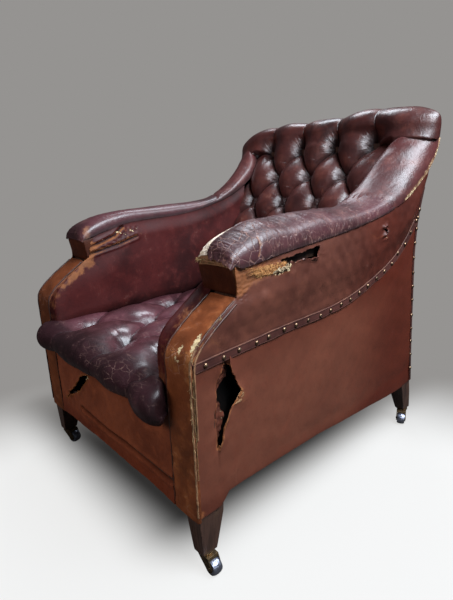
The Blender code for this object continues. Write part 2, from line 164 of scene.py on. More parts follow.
def deselect():
    if bpy.context.mode != "OBJECT":
        bpy.ops.object.mode_set(mode="OBJECT")
    bpy.ops.object.select_all(action="DESELECT")


def work_on(piece):
    deselect()
    piece.select_set(True)
    bpy.context.view_layer.objects.active = piece


def points_of(piece):
    found = np.empty(len(piece.data.vertices) * 3)
    piece.data.vertices.foreach_get("co", found)
    return found.reshape(-1, 3) - (0, FRONT, 0)


def place_points(piece, points):
    piece.data.vertices.foreach_set("co", (points + (0, FRONT, 0)).astype(np.float32).ravel())
    piece.data.update()


def grid(name, across, along, place, out, marks=None):
    """A flat grid whose points are set by place(u, v), facing the way that out says."""
    deselect()
    bpy.ops.mesh.primitive_grid_add(x_subdivisions=across, y_subdivisions=along, size=2)
    piece = bpy.context.object
    piece.name = name
    flat = np.empty(len(piece.data.vertices) * 3)
    piece.data.vertices.foreach_get("co", flat)
    flat = flat.reshape(-1, 3)
    u, v = (flat[:, 0] + 1) / 2, (flat[:, 1] + 1) / 2
    place_points(piece, place(u, v))
    if marks:
        mark(piece, **marks(u, v))
    normals = np.empty(len(piece.data.polygons) * 3)
    piece.data.polygons.foreach_get("normal", normals)
    if (normals.reshape(-1, 3) @ np.asarray(out, float)).sum() < 0:
        bpy.ops.object.mode_set(mode="EDIT")
        bpy.ops.mesh.select_all(action="SELECT")
        bpy.ops.mesh.flip_normals()
        bpy.ops.object.mode_set(mode="OBJECT")
    return piece


def modify(piece, kind, **settings):
    """Adds a modifier and applies it."""
    work_on(piece)
    made = piece.modifiers.new(kind.lower(), kind)
    for setting, value in settings.items():
        setattr(made, setting, value)
    bpy.ops.object.modifier_apply(modifier=made.name)


def mark(piece, **values):
    """Numbers at a piece's points, which its finish reads: one for each point, or for all."""
    for name, value in values.items():
        made = (piece.data.attributes.get(name)
                or piece.data.attributes.new(name, "FLOAT", "POINT"))
        value = np.broadcast_to(value, len(piece.data.vertices))
        made.data.foreach_set("value", np.clip(value, 0, 1).astype(np.float32))


def marked(piece, name):
    found = np.empty(len(piece.data.vertices))
    piece.data.attributes[name].data.foreach_get("value", found)
    return found


def select_edges(piece, chosen):
    """Selects the edges between chosen points, in edit mode."""
    work_on(piece)
    ends = np.empty(len(piece.data.edges) * 2, int)
    piece.data.edges.foreach_get("vertices", ends)
    wanted = chosen[ends.reshape(-1, 2)].all(axis=1)
    piece.data.vertices.foreach_set("select", chosen)
    piece.data.edges.foreach_set("select", wanted)
    piece.data.polygons.foreach_set("select", np.zeros(len(piece.data.polygons), bool))
    bpy.ops.object.mode_set(mode="EDIT")
    bpy.ops.mesh.select_mode(type="EDGE")


def thicken(piece, depth=0.003):
    modify(piece, "SOLIDIFY", thickness=depth, offset=-1)


def soften(piece):
    work_on(piece)
    bpy.ops.object.mode_set(mode="EDIT")
    bpy.ops.mesh.select_all(action="SELECT")
    bpy.ops.mesh.vertices_smooth(factor=0.5, repeat=1)
    bpy.ops.object.mode_set(mode="OBJECT")


def face_out(piece):
    """Turns every face of a closed piece outwards."""
    work_on(piece)
    bpy.ops.object.mode_set(mode="EDIT")
    bpy.ops.mesh.select_all(action="SELECT")
    bpy.ops.mesh.normals_make_consistent(inside=False)
    bpy.ops.object.mode_set(mode="OBJECT")


def finished(piece, finish, replaces=(), angle=60):
    """Gives a piece its finish, its body and what it stands for."""
    work_on(piece)
    bpy.ops.object.transform_apply(location=True, rotation=True, scale=True)
    bpy.ops.object.shade_smooth_by_angle(angle=math.radians(angle))
    piece.data.materials.clear()
    piece.data.materials.append(finish)
    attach(piece, "chair")
    if replaces:
        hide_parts(*replaces)


def mesh_piece(name, points, faces):
    mesh = bpy.data.meshes.new(name)
    mesh.from_pydata((np.asarray(points) + (0, FRONT, 0)).tolist(), [], faces)
    piece = bpy.data.objects.new(name, mesh)
    bpy.context.scene.collection.objects.link(piece)
    return piece


def tubes(name, paths, radii, corners):
    """Cords or threads along many lines, closed at their ends."""
    points, faces = [], []
    turns = np.arange(corners) * 2 * math.pi / corners
    for path, radius in zip(paths, radii):
        path = np.asarray(path, float)
        way = np.gradient(path, axis=0)
        way /= np.linalg.norm(way, axis=1, keepdims=True) + 1e-12
        up = np.cross(way, (0.31, 0.17, 0.93))
        up /= np.linalg.norm(up, axis=1, keepdims=True) + 1e-12
        other = np.cross(way, up)
        start = len(points)
        size = np.broadcast_to(radius, len(path))
        for centre, a, b, r in zip(path, up, other, size):
            points += [centre + r * (math.cos(t) * a + math.sin(t) * b) for t in turns]
        for ring in range(len(path) - 1):
            low, high = start + ring * corners, start + (ring + 1) * corners
            faces += [(low + i, high + i, high + (i + 1) % corners, low + (i + 1) % corners)
                      for i in range(corners)]
        faces.append([start + i for i in range(corners)])
        faces.append([start + (len(path) - 1) * corners + i for i in reversed(range(corners))])
    piece = mesh_piece(name, points, faces)
    face_out(piece)
    return piece


DOME_FOOT = 0.12  # how far up a ball its head is cut off


def domes(name, places, radius, height):
    """Nail or button heads, all alike, at places given as (centre, outward direction)."""
    deselect()
    bpy.ops.mesh.primitive_uv_sphere_add(segments=14, ring_count=8, radius=1)
    model = bpy.context.object
    bpy.ops.object.mode_set(mode="EDIT")
    bpy.ops.mesh.select_all(action="SELECT")
    bpy.ops.mesh.bisect(plane_co=(0, 0, DOME_FOOT), plane_no=(0, 0, 1), use_fill=True,
                        clear_inner=True)
    bpy.ops.mesh.select_all(action="SELECT")
    bpy.ops.transform.resize(value=(radius, radius, height), center_override=(0, 0, 0))
    bpy.ops.object.mode_set(mode="OBJECT")
    shape = np.array([v.co for v in model.data.vertices])
    shape[:, 2] -= DOME_FOOT * height
    faces = [tuple(p.vertices) for p in model.data.polygons]
    bpy.data.objects.remove(model)
    points, all_faces = [], []
    for centre, out in places:
        out = np.asarray(out, float) / np.linalg.norm(out)
        side = np.cross(out, (0.1, 0.2, 1.0) if abs(out[2]) < 0.9 else (1.0, 0.1, 0))
        side /= np.linalg.norm(side)
        turned = shape @ np.array([side, np.cross(out, side), out]) + np.asarray(centre)
        all_faces += [tuple(i + len(points) for i in face) for face in faces]
        points += list(turned)
    return mesh_piece(name, points, all_faces)


def torn(piece, outline, axes, reach):
    """Opens a tear: takes out the faces inside an outline and draws the edges left onto it."""
    place = points_of(piece)
    flat = place[:, axes]
    away, spots = nearest_on(flat, closed(outline))
    on_edge = away < reach
    gone = inside(flat, outline) | on_edge
    middles = np.array([place[list(p.vertices)].mean(axis=0) for p in piece.data.polygons])
    chosen = [polygon.index for polygon, inner
              in zip(piece.data.polygons, inside(middles[:, axes], outline))
              if inner and gone[list(polygon.vertices)].all()]
    place[np.ix_(on_edge, axes)] = spots[on_edge]
    place_points(piece, place)
    work_on(piece)
    bpy.ops.object.mode_set(mode="EDIT")
    bpy.ops.mesh.select_mode(type="FACE")
    bpy.ops.mesh.select_all(action="DESELECT")
    bpy.ops.object.mode_set(mode="OBJECT")
    for index in chosen:
        piece.data.polygons[index].select = True
    bpy.ops.object.mode_set(mode="EDIT")
    bpy.ops.mesh.delete(type="FACE")
    bpy.ops.object.mode_set(mode="OBJECT")


def cut_to(piece, outline):
    """Leaves only the part of a sheet that lies inside an outline seen from the side."""
    outside = ~inside(points_of(piece)[:, 1:], outline)
    select_edges(piece, np.zeros(len(outside), bool))
    bpy.ops.mesh.select_mode(type="VERT")
    bpy.ops.object.mode_set(mode="OBJECT")
    piece.data.vertices.foreach_set("select", outside)
    bpy.ops.object.mode_set(mode="EDIT")
    bpy.ops.mesh.delete(type="VERT")
    bpy.ops.object.mode_set(mode="OBJECT")


def ragged(outline, step, depth, seed):
    """An outline with points every step, pushed in and out by up to depth."""
    made = np.random.default_rng(seed)
    outline = np.asarray(outline, float)
    points = []
    for a, b in zip(outline, np.roll(outline, -1, axis=0)):
        count = max(1, round(np.linalg.norm(b - a) / step))
        way = (b - a) / (np.linalg.norm(b - a) + 1e-9)
        for i in range(count):
            push = made.normal(0, depth / 2) if i else made.normal(0, depth / 5)
            points.append(tuple(a + (b - a) * i / count + np.array([-way[1], way[0]]) * push))
    return points


# Deep buttoning

MARK_ROWS = 20  # how many rows of buttons the marks "across" and "along" span, from 0 to 1


def tufts(across, along, pitch, row, crown, pleat, sharp, brow, fade, sag, seed):
    """Height of buttoned leather over its buttons, in diamonds behind the first row of buttons
    and in channels in front of it. p and q count the diamonds along their two slants."""
    p = across / pitch + along / (2 * row)
    q = across / pitch - along / (2 * row)
    sp, sq = np.abs(np.sin(np.pi * p)), np.abs(np.sin(np.pi * q))
    lower = (p - np.floor(p)) - (q - np.floor(q))
    cell = np.floor(p) * 57.3 + np.floor(q) * 131.7 + seed
    swell = (1 + 0.06 * np.sin(cell * 12.9898)) * (1 + sag * lower * np.sqrt(sp * sq))

    def full(share):
        return 0.22 * share ** 0.35 + 0.78 * share ** sharp

    behind = pleat * (1 - (1 - sp) * (1 - sq)) + (crown * swell - pleat) * full(sp * sq)
    s = np.abs(np.sin(np.pi * across / pitch))
    floor = brow * (1 - hill(np.minimum(along, 0), fade))
    front = pleat * (1 - (1 - s) ** 2) + (crown - pleat) * full(s ** 2)
    front = floor * crown + (1 - floor) * front
    share = smoothstep(along, -0.012, 0.012)
    return share * behind + (1 - share) * front


def gathers(across, along, buttons, reach, height, seed):
    """Small folds of leather that fan out from each button."""
    made = np.random.default_rng(seed)
    total = np.zeros(len(across))
    for a, b in buttons:
        away = np.hypot(across - a, along - b)
        angle = np.arctan2(along - b, across - a)
        fan = sum(np.cos(k * angle + made.uniform(0, 6.28)) * made.uniform(0.5, 1)
                  for k in (7, 11, 15, 19)) / 2
        share = away / (reach * (1 + 0.25 * np.sin(3 * angle + made.uniform(0, 6.28))))
        total += height * fan * share * np.exp(1.6 * (1 - share ** 1.4)) * (share < 3) / 2.2
    return total


def dimples(across, along, buttons, reach, depth):
    """How far the leather is drawn down close to each button."""
    total = np.zeros(len(across))
    for a, b in buttons:
        total += depth * np.exp(-((across - a) ** 2 + (along - b) ** 2) / reach ** 2)
    return total


# Shader nodes

class Wire:
    """One output of a finish's nodes. Arithmetic on it adds Math nodes."""

    def __init__(self, tree, socket):
        self.tree, self.socket = tree, socket

    def math(self, operation, *others):
        node = self.tree.nodes.new("ShaderNodeMath")
        node.operation = operation
        for place, value in zip(node.inputs, (self, *others)):
            connect(self.tree, place, value)
        return Wire(self.tree, node.outputs[0])

    def __add__(self, other):
        return self.math("ADD", other)

    def __sub__(self, other):
        return self.math("SUBTRACT", other)

    def __rsub__(self, other):
        return (self * -1).math("ADD", other)

    def __mul__(self, other):
        return self.math("MULTIPLY", other)

    def __truediv__(self, other):
        return self.math("DIVIDE", other)

    def __pow__(self, other):
        return self.math("POWER", other)

    __radd__, __rmul__ = __add__, __mul__

    def most(self, other):
        return self.math("MAXIMUM", other)

    def step(self, low, high):
        """0 below low, 1 above high and smooth between."""
        node = self.tree.nodes.new("ShaderNodeMapRange")
        node.interpolation_type = "SMOOTHSTEP"
        connect(self.tree, node.inputs["Value"], self)
        start, end = (0, 1) if low < high else (1, 0)
        for name, value in (("From Min", min(low, high)), ("From Max", max(low, high)),
                            ("To Min", start), ("To Max", end)):
            node.inputs[name].default_value = value
        return Wire(self.tree, node.outputs["Result"])


def connect(tree, place, value):
    if isinstance(value, Wire):
        tree.links.new(value.socket, place)
    elif place.type == "RGBA" and len(value) == 3:
        place.default_value = (*value, 1)
    else:
        place.default_value = value


class Finish:
    """A material's nodes."""

    def __init__(self, name):
        self.material = bpy.data.materials.new(name)
        self.material.use_nodes = True
        self.tree = self.material.node_tree
        self.shader = self.tree.nodes["Principled BSDF"]
        self.coords = self.node("TexCoord", {}, {}, "Object")

    def node(self, kind, settings, values, output=0):
        node = self.tree.nodes.new("ShaderNode" + kind)
        for setting, value in settings.items():
            setattr(node, setting, value)
        for place, value in values.items():
            connect(self.tree, node.inputs[place], value)
        return Wire(self.tree, node.outputs[output])

    def set(self, **values):
        for place, value in values.items():
            connect(self.tree, self.shader.inputs[place.replace("_", " ")], value)

    def mix(self, share, first, second, how="MIX"):
        node = self.tree.nodes.new("ShaderNodeMix")
        node.data_type, node.blend_type = "RGBA", how
        for place, value in ((0, share), (6, first), (7, second)):
            connect(self.tree, node.inputs[place], value)
        return Wire(self.tree, node.outputs[2])

    def marked(self, name):
        return self.node("Attribute", {"attribute_name": name}, {}, "Fac")

    def stretched(self, scale, turn=(0, 0, 0), coords=None):
        return self.node("Mapping", {}, {"Vector": coords or self.coords, "Scale": scale,
                                         "Rotation": turn})

    def noise(self, scale, detail=4, roughness=0.55, coords=None, warp=0):
        return self.node("TexNoise", {}, {"Vector": coords or self.coords, "Scale": scale,
                                          "Detail": detail, "Roughness": roughness,
                                          "Distortion": warp}, "Fac")

    def cells(self, scale, feature, coords):
        return self.node("TexVoronoi", {"feature": feature}, {"Vector": coords, "Scale": scale},
                         "Distance")

    def warped(self, amount, scale):
        """Coordinates pushed about by noise, so that lines on them wander."""
        push = self.node("TexNoise", {}, {"Vector": self.coords, "Scale": scale, "Detail": 3},
                         "Color")
        push = self.node("VectorMath", {"operation": "SUBTRACT"}, {0: push, 1: (0.5,) * 3})
        push = self.node("VectorMath", {"operation": "SCALE"}, {0: push, "Scale": amount})
        return self.node("VectorMath", {"operation": "ADD"}, {0: self.coords, 1: push})

    def bump(self, height, distance, strength=1.0, under=None):
        values = {"Height": height, "Distance": distance, "Strength": strength}
        if under:
            values["Normal"] = under
        return self.node("Bump", {}, values)


# Finishes

def shade(red, green, blue):
    """A colour given as it looks, 0 to 255, as the linear numbers of a shader."""
    return tuple((c / 255 / 12.92 if c <= 10 else ((c / 255 + 0.055) / 1.055) ** 2.4)
                 for c in (red, green, blue))


def dimmed(colour, share):
    return tuple(c * share for c in colour)


def leather(name, dark, mid, warm, gloss=0.38, coat=0.15, grain=1.0, tan=(150, 92, 52),
            cream=(206, 182, 142), crack=(168, 130, 116), shine=0.42, buttons=None):
    """Old leather: mottled, with shade painted dark in its creases, seams and hollows, rubbed to
    tan and worn bare where marked.
    """
    finish = Finish(name)
    dark, mid, warm, tan, cream, crack = (shade(*c) for c in (dark, mid, warm, tan, cream, crack))
    crease, worn = finish.marked("crease"), finish.marked("worn")
    bare, cracked = finish.marked("bare"), finish.marked("cracked")
    broad, middling = finish.noise(5.5, 5, 0.6), finish.noise(26, 5, 0.62, warp=0.4)
    fine = finish.noise(150, 4, 0.6)
    colour = finish.mix(broad.step(0.36, 0.64), dark, mid)
    colour = finish.mix(middling.step(0.44, 0.74) * 0.7, colour, warm)
    colour = finish.mix(fine.step(0.50, 0.75) * 0.28, colour, dimmed(dark, 0.55))
    scuffs = finish.noise(1.0, 4, 0.65, finish.stretched((170, 20, 24), (0.4, 0.5, 0.3)))
    colour = finish.mix(scuffs.step(0.66, 0.78) * broad.step(0.35, 0.6) * 0.22, colour, tan)

    rub = worn * 1.25 + (middling - 0.5) * 1.3 + (fine - 0.5) * 0.9 - 0.42
    rub = rub.step(-0.05, 0.55) * (worn * 4).math("MINIMUM", 1.0)
    rubbed = finish.mix(finish.noise(34, 5, 0.65).step(0.30, 0.72), dimmed(tan, 0.62), tan)
    colour = finish.mix(rub * 0.85, colour, rubbed)
    # Painted shade: a deeper red-brown tint where marked, then near black in creases, seams and
    # hollows.
    colour = finish.mix(finish.marked("rich"), colour, (0.60, 0.32, 0.25), "MULTIPLY")
    colour = finish.mix(crease * 0.85, colour, dimmed(dark, 0.16))

    wander = finish.warped(0.012, 42)
    nets = finish.cells(46, "DISTANCE_TO_EDGE", wander).step(0.042, 0.008)
    slim = finish.stretched((0.55, 1.9, 0.55), coords=wander)
    bars = finish.cells(62, "DISTANCE_TO_EDGE", slim).step(0.050, 0.012)
    nets = nets * cracked.step(0.55, 0.8) + bars * cracked.step(0.85, 0.5)
    lines = nets * (cracked * 1.2 + (middling - 0.5) * 1.8 - 0.2).step(0.0, 0.6)
    lines = lines.math("MINIMUM", 1.0) * (fine - 0.2).step(0.0, 0.5)
    colour = finish.mix(lines * 0.62, colour, crack)

    hide = (bare + (middling - 0.5) * 0.9 + (fine - 0.5) * 1.3 - 0.5).step(0.0, 0.12)
    hide = hide * (bare * 5).math("MINIMUM", 1.0)
    hidden = finish.mix(fine.step(0.35, 0.6), dimmed(cream, 0.62), cream)
    colour = finish.mix(hide, colour, hidden)
    roughness = (gloss + (middling - 0.5) * 0.26 + (fine - 0.5) * 0.16 + rub * 0.16
                 + hide * 0.4 + crease * 0.2 + lines * 0.15)

    pebbles = finish.cells(430, "SMOOTH_F1", finish.warped(0.002, 300))
    folds = finish.noise(1.0, 3, 0.5, finish.stretched((70, 38, 38), (0.2, 0.6, 0.9)), warp=0.6)
    normal = finish.bump(pebbles + fine * 0.8, 0.0005 * grain, 0.5)
    normal = finish.bump(folds, 0.0028 * grain, 0.4, normal)
    normal = finish.bump((lines + hide * 0.8 + rub * 0.25) * -1, 0.0010, 0.8, normal)
    if buttons:
        normal, fold = gathered(finish, normal, *buttons)
        # The pleat lines are painted dark as shade.
        colour = finish.mix(fold * 0.70, colour, dimmed(dark, 0.15))
        roughness = roughness + fold * 0.15
    if coat:
        coat = (1 - hide) * (1 - crease) * coat * (1 - rub * 0.7)
    finish.set(Base_Color=colour, Roughness=roughness, Normal=normal, Specular_IOR_Level=shine,
               Coat_Weight=coat, Coat_Roughness=0.25, IOR=1.45)
    return finish.material


def gathered(finish, under, pitch, row):
    """Pleats between buttons and the small folds round each one, as bumps, with the pleat lines
    given back as a mask for painted shade.
    """
    across, along = (finish.marked(way) * MARK_ROWS - MARK_ROWS / 2 for way in ("across", "along"))
    wander = (finish.noise(70, 3) - 0.5) * 0.03
    behind = along.most(0.0) * 0.5
    p, q = across + behind + wander, across - behind + wander
    p, q = ((p - p.math("ROUND")).math("ABSOLUTE"), (q - q.math("ROUND")).math("ABSOLUTE"))
    fold = p.math("MINIMUM", q).step(0.020, 0.002)
    line = along.math("ROUND").most(0.0)
    shift = line.math("MODULO", 2.0) * 0.5
    beside = across - shift
    beside = (beside - beside.math("ROUND")) * pitch
    below = (along - line) * row
    away = (beside * beside + below * below) ** 0.5
    angle = below.math("ARCTAN2", beside)
    ring_x = angle.math("COSINE") * 2.6 + line * 3.7
    ring_y = angle.math("SINE") * 2.6 + (across - beside / pitch) * 5
    ring = finish.node("CombineXYZ", {}, {0: ring_x, 1: ring_y, 2: away * 16})
    rays = finish.node("TexNoise", {}, {"Vector": ring, "Scale": 1.9, "Detail": 3,
                                        "Roughness": 0.6}, "Fac")
    reach = away.step(0.060, 0.010) * away.step(0.004, 0.010)
    normal = finish.bump(rays * reach, 0.0048, 1.0, under)
    normal = finish.bump(fold * -1, 0.0018, 0.8, normal)
    return normal, fold * (away.step(0.085, 0.02) * 0.5 + 0.5)


def wood():
    finish = Finish("dark stained beech")
    rings = finish.node("TexWave", {"wave_type": "BANDS", "bands_direction": "X"},
                        {"Vector": finish.stretched((1, 1, 0.12)), "Scale": 42, "Distortion": 9,
                         "Detail": 4, "Detail Scale": 1.6}, "Fac")
    streaks = finish.noise(1.0, 5, 0.6, finish.stretched((150, 150, 9)))
    blots = finish.noise(22, 5, 0.6)
    colour = finish.mix(rings * 0.6 + streaks * 0.4, shade(42, 24, 18), shade(80, 54, 44))
    colour = finish.mix(blots.step(0.55, 0.75) * 0.5, colour, shade(96, 74, 54))
    pits = streaks.step(0.32, 0.2)
    colour = finish.mix(pits * 0.7, colour, shade(20, 13, 10))
    normal = finish.bump(streaks + rings * 0.4 - pits, 0.0012, 0.5)
    finish.set(Base_Color=colour, Roughness=0.42 + (blots - 0.5) * 0.3, Normal=normal,
               Coat_Weight=0.25 * blots.step(0.7, 0.4), Coat_Roughness=0.25)
    return finish.material


def metal(name, clean, tarnish, dirt, gloss, wear=0.5):
    finish = Finish(name)
    blots, fine = finish.noise(130, 5, 0.6), finish.noise(600, 3)
    stain = blots.step(wear - 0.12, wear + 0.16)
    colour = finish.mix(stain, shade(*clean), shade(*tarnish))
    grime = finish.noise(70, 4).step(0.56, 0.72)
    colour = finish.mix(grime * 0.8, colour, shade(*dirt))
    normal = finish.bump(blots + fine * 0.5, 0.0004, 0.4)
    finish.set(Base_Color=colour, Metallic=1 - grime * 0.55 - stain * 0.15,
               Roughness=gloss + stain * 0.22 + (fine - 0.5) * 0.15 + grime * 0.25,
               Normal=normal)
    return finish.material


def cloth(name, light, dark, threads):
    """A plain coarse weave, as of webbing, hessian or canvas."""
    finish = Finish(name)
    warp, weft, rise = (finish.node("TexWave", {"bands_direction": way},
                                    {"Vector": finish.coords, "Scale": threads,
                                     "Distortion": 0.6}, "Fac") for way in "XYZ")
    weave = (warp - weft).math("ABSOLUTE").most((weft - rise).math("ABSOLUTE"))
    stains = finish.noise(24, 5, 0.6)
    fibres = finish.noise(420, 4, 0.7)
    colour = finish.mix(weave * 0.6 + fibres * 0.4, shade(*dark), shade(*light))
    colour = finish.mix(stains.step(0.45, 0.75) * 0.6, colour, shade(*dimmed(dark, 0.5)))
    finish.set(Base_Color=colour, Roughness=0.9, Specular_IOR_Level=0.15,
               Normal=finish.bump(weave + fibres, 0.001, 0.7))
    return finish.material


def fibre(name, light, dark, scale=90, gap_shade=0.75):
    """Matted horsehair, straw or cotton, in strands."""
    finish = Finish(name)
    strands = finish.noise(1.0, 6, 0.75, finish.stretched((scale, scale * 3.5, scale * 1.4),
                                                          (0.5, 0.3, 0.8)), warp=1.2)
    clumps = finish.noise(45, 5, 0.7, warp=0.8)
    colour = finish.mix(strands.step(0.35, 0.68), shade(*dark), shade(*light))
    # Painted shade in the gaps between clumps.
    colour = finish.mix(clumps.step(0.5, 0.32) * gap_shade, colour, shade(*dimmed(dark, 0.35)))
    normal = finish.bump(strands + clumps, 0.004, 0.9)
    finish.set(Base_Color=colour, Roughness=0.95, Specular_IOR_Level=0.15, Normal=normal)
    return finish.material


def finishes():
    return {
        "back": leather("maroon back leather", (44, 19, 18), (72, 33, 30), (98, 48, 38),
                        gloss=0.37, coat=0.22, shine=0.6, buttons=(BACK_PITCH, BACK_ROW)),
        "seat": leather("maroon seat leather", (56, 29, 33), (90, 51, 58), (104, 62, 68),
                        gloss=0.31, coat=0.90, shine=0.30, buttons=(SEAT_PITCH, SEAT_ROW)),
        "roll": leather("maroon side roll leather", (64, 31, 31), (90, 46, 45), (108, 58, 52),
                        gloss=0.40, coat=0.14, grain=1.3, shine=0.5, tan=(190, 148, 108)),
        "pad": leather("maroon arm leather", (56, 29, 31), (82, 46, 50), (100, 60, 60),
                       gloss=0.38, coat=0.16, shine=0.5, tan=(164, 110, 80),
                       crack=(156, 114, 100)),
        "inside": leather("deep red arm leather", (46, 14, 14), (72, 23, 22), (86, 30, 27),
                          gloss=0.56, coat=0.0, grain=0.5, tan=(160, 100, 62), shine=0.22),
        "outside": leather("brown-maroon side leather", (84, 44, 34), (104, 58, 45),
                           (112, 62, 46), gloss=0.48, coat=0.04, grain=0.5,
                           tan=(150, 88, 46)),
        "lower": leather("reddish brown side leather", (104, 57, 42), (116, 65, 48),
                         (112, 57, 40), gloss=0.50, coat=0.03, grain=0.35,
                         tan=(176, 112, 66), shine=0.35),
        "border": leather("russet border leather", (112, 54, 33), (136, 70, 44), (152, 80, 50),
                          gloss=0.52, coat=0.02, grain=0.6, shine=0.25),
        "facing": leather("tan facing leather", (104, 54, 30), (140, 74, 42), (158, 88, 50),
                          gloss=0.50, coat=0.02, grain=0.5, shine=0.25, tan=(190, 124, 74),
                          cream=(216, 190, 146)),
        # Much darker than the facing leather below it.
        "block": leather("dark end leather", (54, 24, 14), (70, 32, 19), (88, 46, 28),
                         gloss=0.55, coat=0.02, tan=(120, 78, 40), shine=0.2),
        "band": leather("dark band leather", (66, 36, 32), (88, 50, 44), (100, 60, 52),
                        gloss=0.58, coat=0.0, grain=0.5, tan=(118, 78, 62), shine=0.2),
        "piping": leather("piping leather", (60, 32, 26), (84, 48, 38), (110, 70, 56),
                          gloss=0.44, coat=0.1, grain=0.4, tan=(176, 130, 92)),
        "rear": leather("rear leather", (80, 44, 34), (98, 54, 42), (104, 56, 40),
                        gloss=0.48, coat=0.05, grain=0.5),
        "wood": wood(),
        "brass": metal("dull castor brass", (122, 100, 72), (62, 48, 36), (28, 22, 18),
                       gloss=0.38),
        "steel": metal("worn castor steel", (160, 164, 182), (98, 96, 106), (50, 42, 38),
                       gloss=0.32, wear=0.58),
        "nail": metal("antique nail brass", (130, 106, 84), (88, 64, 48), (52, 36, 28),
                      gloss=0.30),
        "spring": metal("spring wire", (132, 128, 122), (86, 68, 52), (70, 44, 28), gloss=0.42),
        "jute": cloth("jute webbing", (176, 142, 92), (110, 82, 48), threads=95),
        "canvas": cloth("old canvas", (184, 134, 98), (108, 70, 50), threads=190),
        # Painted shade: the hessian seen through the tears is coloured near black.
        "hessian": cloth("hessian in painted shade", (30, 17, 12), (12, 7, 6), threads=170),
        "cotton": fibre("cotton wadding", (255, 238, 224), (238, 210, 180), scale=60, gap_shade=0.25),
        "rag": fibre("torn cotton rag", (222, 200, 168), (150, 124, 92), scale=70, gap_shade=0.4),
        # Painted shade: the horsehair seen through the tears is coloured near black.
        "hair": fibre("horsehair", (40, 26, 17), (14, 9, 6)),
        "suede": fibre("torn leather edge", (212, 168, 126), (168, 120, 84), scale=120),
        "straw": fibre("tow and cotton", (226, 172, 112), (160, 98, 54), scale=120, gap_shade=0.25),
        "thread": fibre("linen thread", (214, 186, 136), (150, 116, 74), scale=200),
    }


# Seat

SEAT_PITCH, SEAT_ROW, SEAT_FIRST = 0.184, 0.133, 0.072
SEAT_HALF, SEAT_CROWN, SEAT_UNDERSIDE = 0.2625, 0.034, 0.3355
SEAT_LINE = Line([(0.600, 0.431), (0.520, 0.430), (0.430, 0.427), (0.330, 0.424), (0.230, 0.423),
                  (0.140, 0.4225), (0.060, 0.421), (0.010, 0.4185), (-0.019, 0.413),
                  (-0.041, 0.398), (-0.050, 0.376), (-0.044, 0.353), (-0.026, 0.337),
                  (-0.006, 0.331), (0.006, 0.334)])


def seat_lattice(u, v):
    """Across and behind the first row of buttons, for each place on the seat."""
    w = 2 * u - 1
    turn = np.clip((np.abs(w) - 0.86) / 0.14, 0, 1) * math.pi / 2
    x = np.sign(w) * (np.minimum(np.abs(w) / 0.86, 1) * (SEAT_HALF - 0.026)
                      + 0.026 * np.sin(turn))
    line = SEAT_LINE.at(v)
    flat = Line(SEAT_LINE.points[SEAT_LINE.points[:, 0] > SEAT_FIRST], smooth=False).length
    ahead = flat - v * SEAT_LINE.length
    along = np.where(ahead > 0, line[:, 0] - SEAT_FIRST, ahead)
    middle = 0.044 * smoothstep(-along, 0.0, 0.075) - 0.010 * smoothstep(-along, 0.08, 0.13)
    right = 0.036 * smoothstep(-along, 0.0, 0.07) - 0.031 * smoothstep(-along, 0.075, 0.125)
    bend = middle * smoothstep(x, -0.25, -0.02) * smoothstep(x, 0.16, 0.09)
    return x, along, x - bend - right * smoothstep(x, 0.09, 0.16), turn


def seat_place(u, v):
    x, along, across, turn = seat_lattice(u, v)
    height = tufts(across, along, SEAT_PITCH, SEAT_ROW, SEAT_CROWN, pleat=0.007, sharp=0.62,
                   brow=0.82, fade=0.080, sag=0.0, seed=3)
    height += gathers(across, along, seat_buttons(), reach=0.024, height=0.0014, seed=5)
    height -= dimples(across, along, seat_buttons(), reach=0.022, depth=0.018)
    lip = smoothstep(-along, 0.04, 0.10)
    beside = 0.6 * smoothstep(np.abs(x), 0.19, 0.25) * (1 - lip)
    height += beside * (0.8 * SEAT_CROWN - height)
    height += 0.0014 * uneven(np.c_[x * 1.4, along], 0.14, 11)
    knob = lip * smoothstep(x, 0.175, 0.225)
    height += 0.007 * knob + 0.002 * lip * smoothstep(-x, 0.19, 0.24)
    height -= 0.0035 * lip * hill(x - 0.182, 0.010)
    depth = SEAT_CROWN - height + 0.022 * (1 - np.cos(turn)) * (0.4 + 0.6 * lip)
    place = SEAT_LINE.at(v) + SEAT_LINE.side(v) * depth[:, None]
    place[:, 1] -= 0.008 * (np.abs(x) / SEAT_HALF) ** 4 * (1 - lip)
    proud = lip * smoothstep(-place[:, 0], -0.005, 0.025)
    wide = 1 + (0.085 * (x > 0) + 0.045 * (x < 0)) * proud * smoothstep(np.abs(x), 0.12, 0.26)
    place[:, 1] -= 0.010 * knob * proud
    return np.c_[x * wide, place]


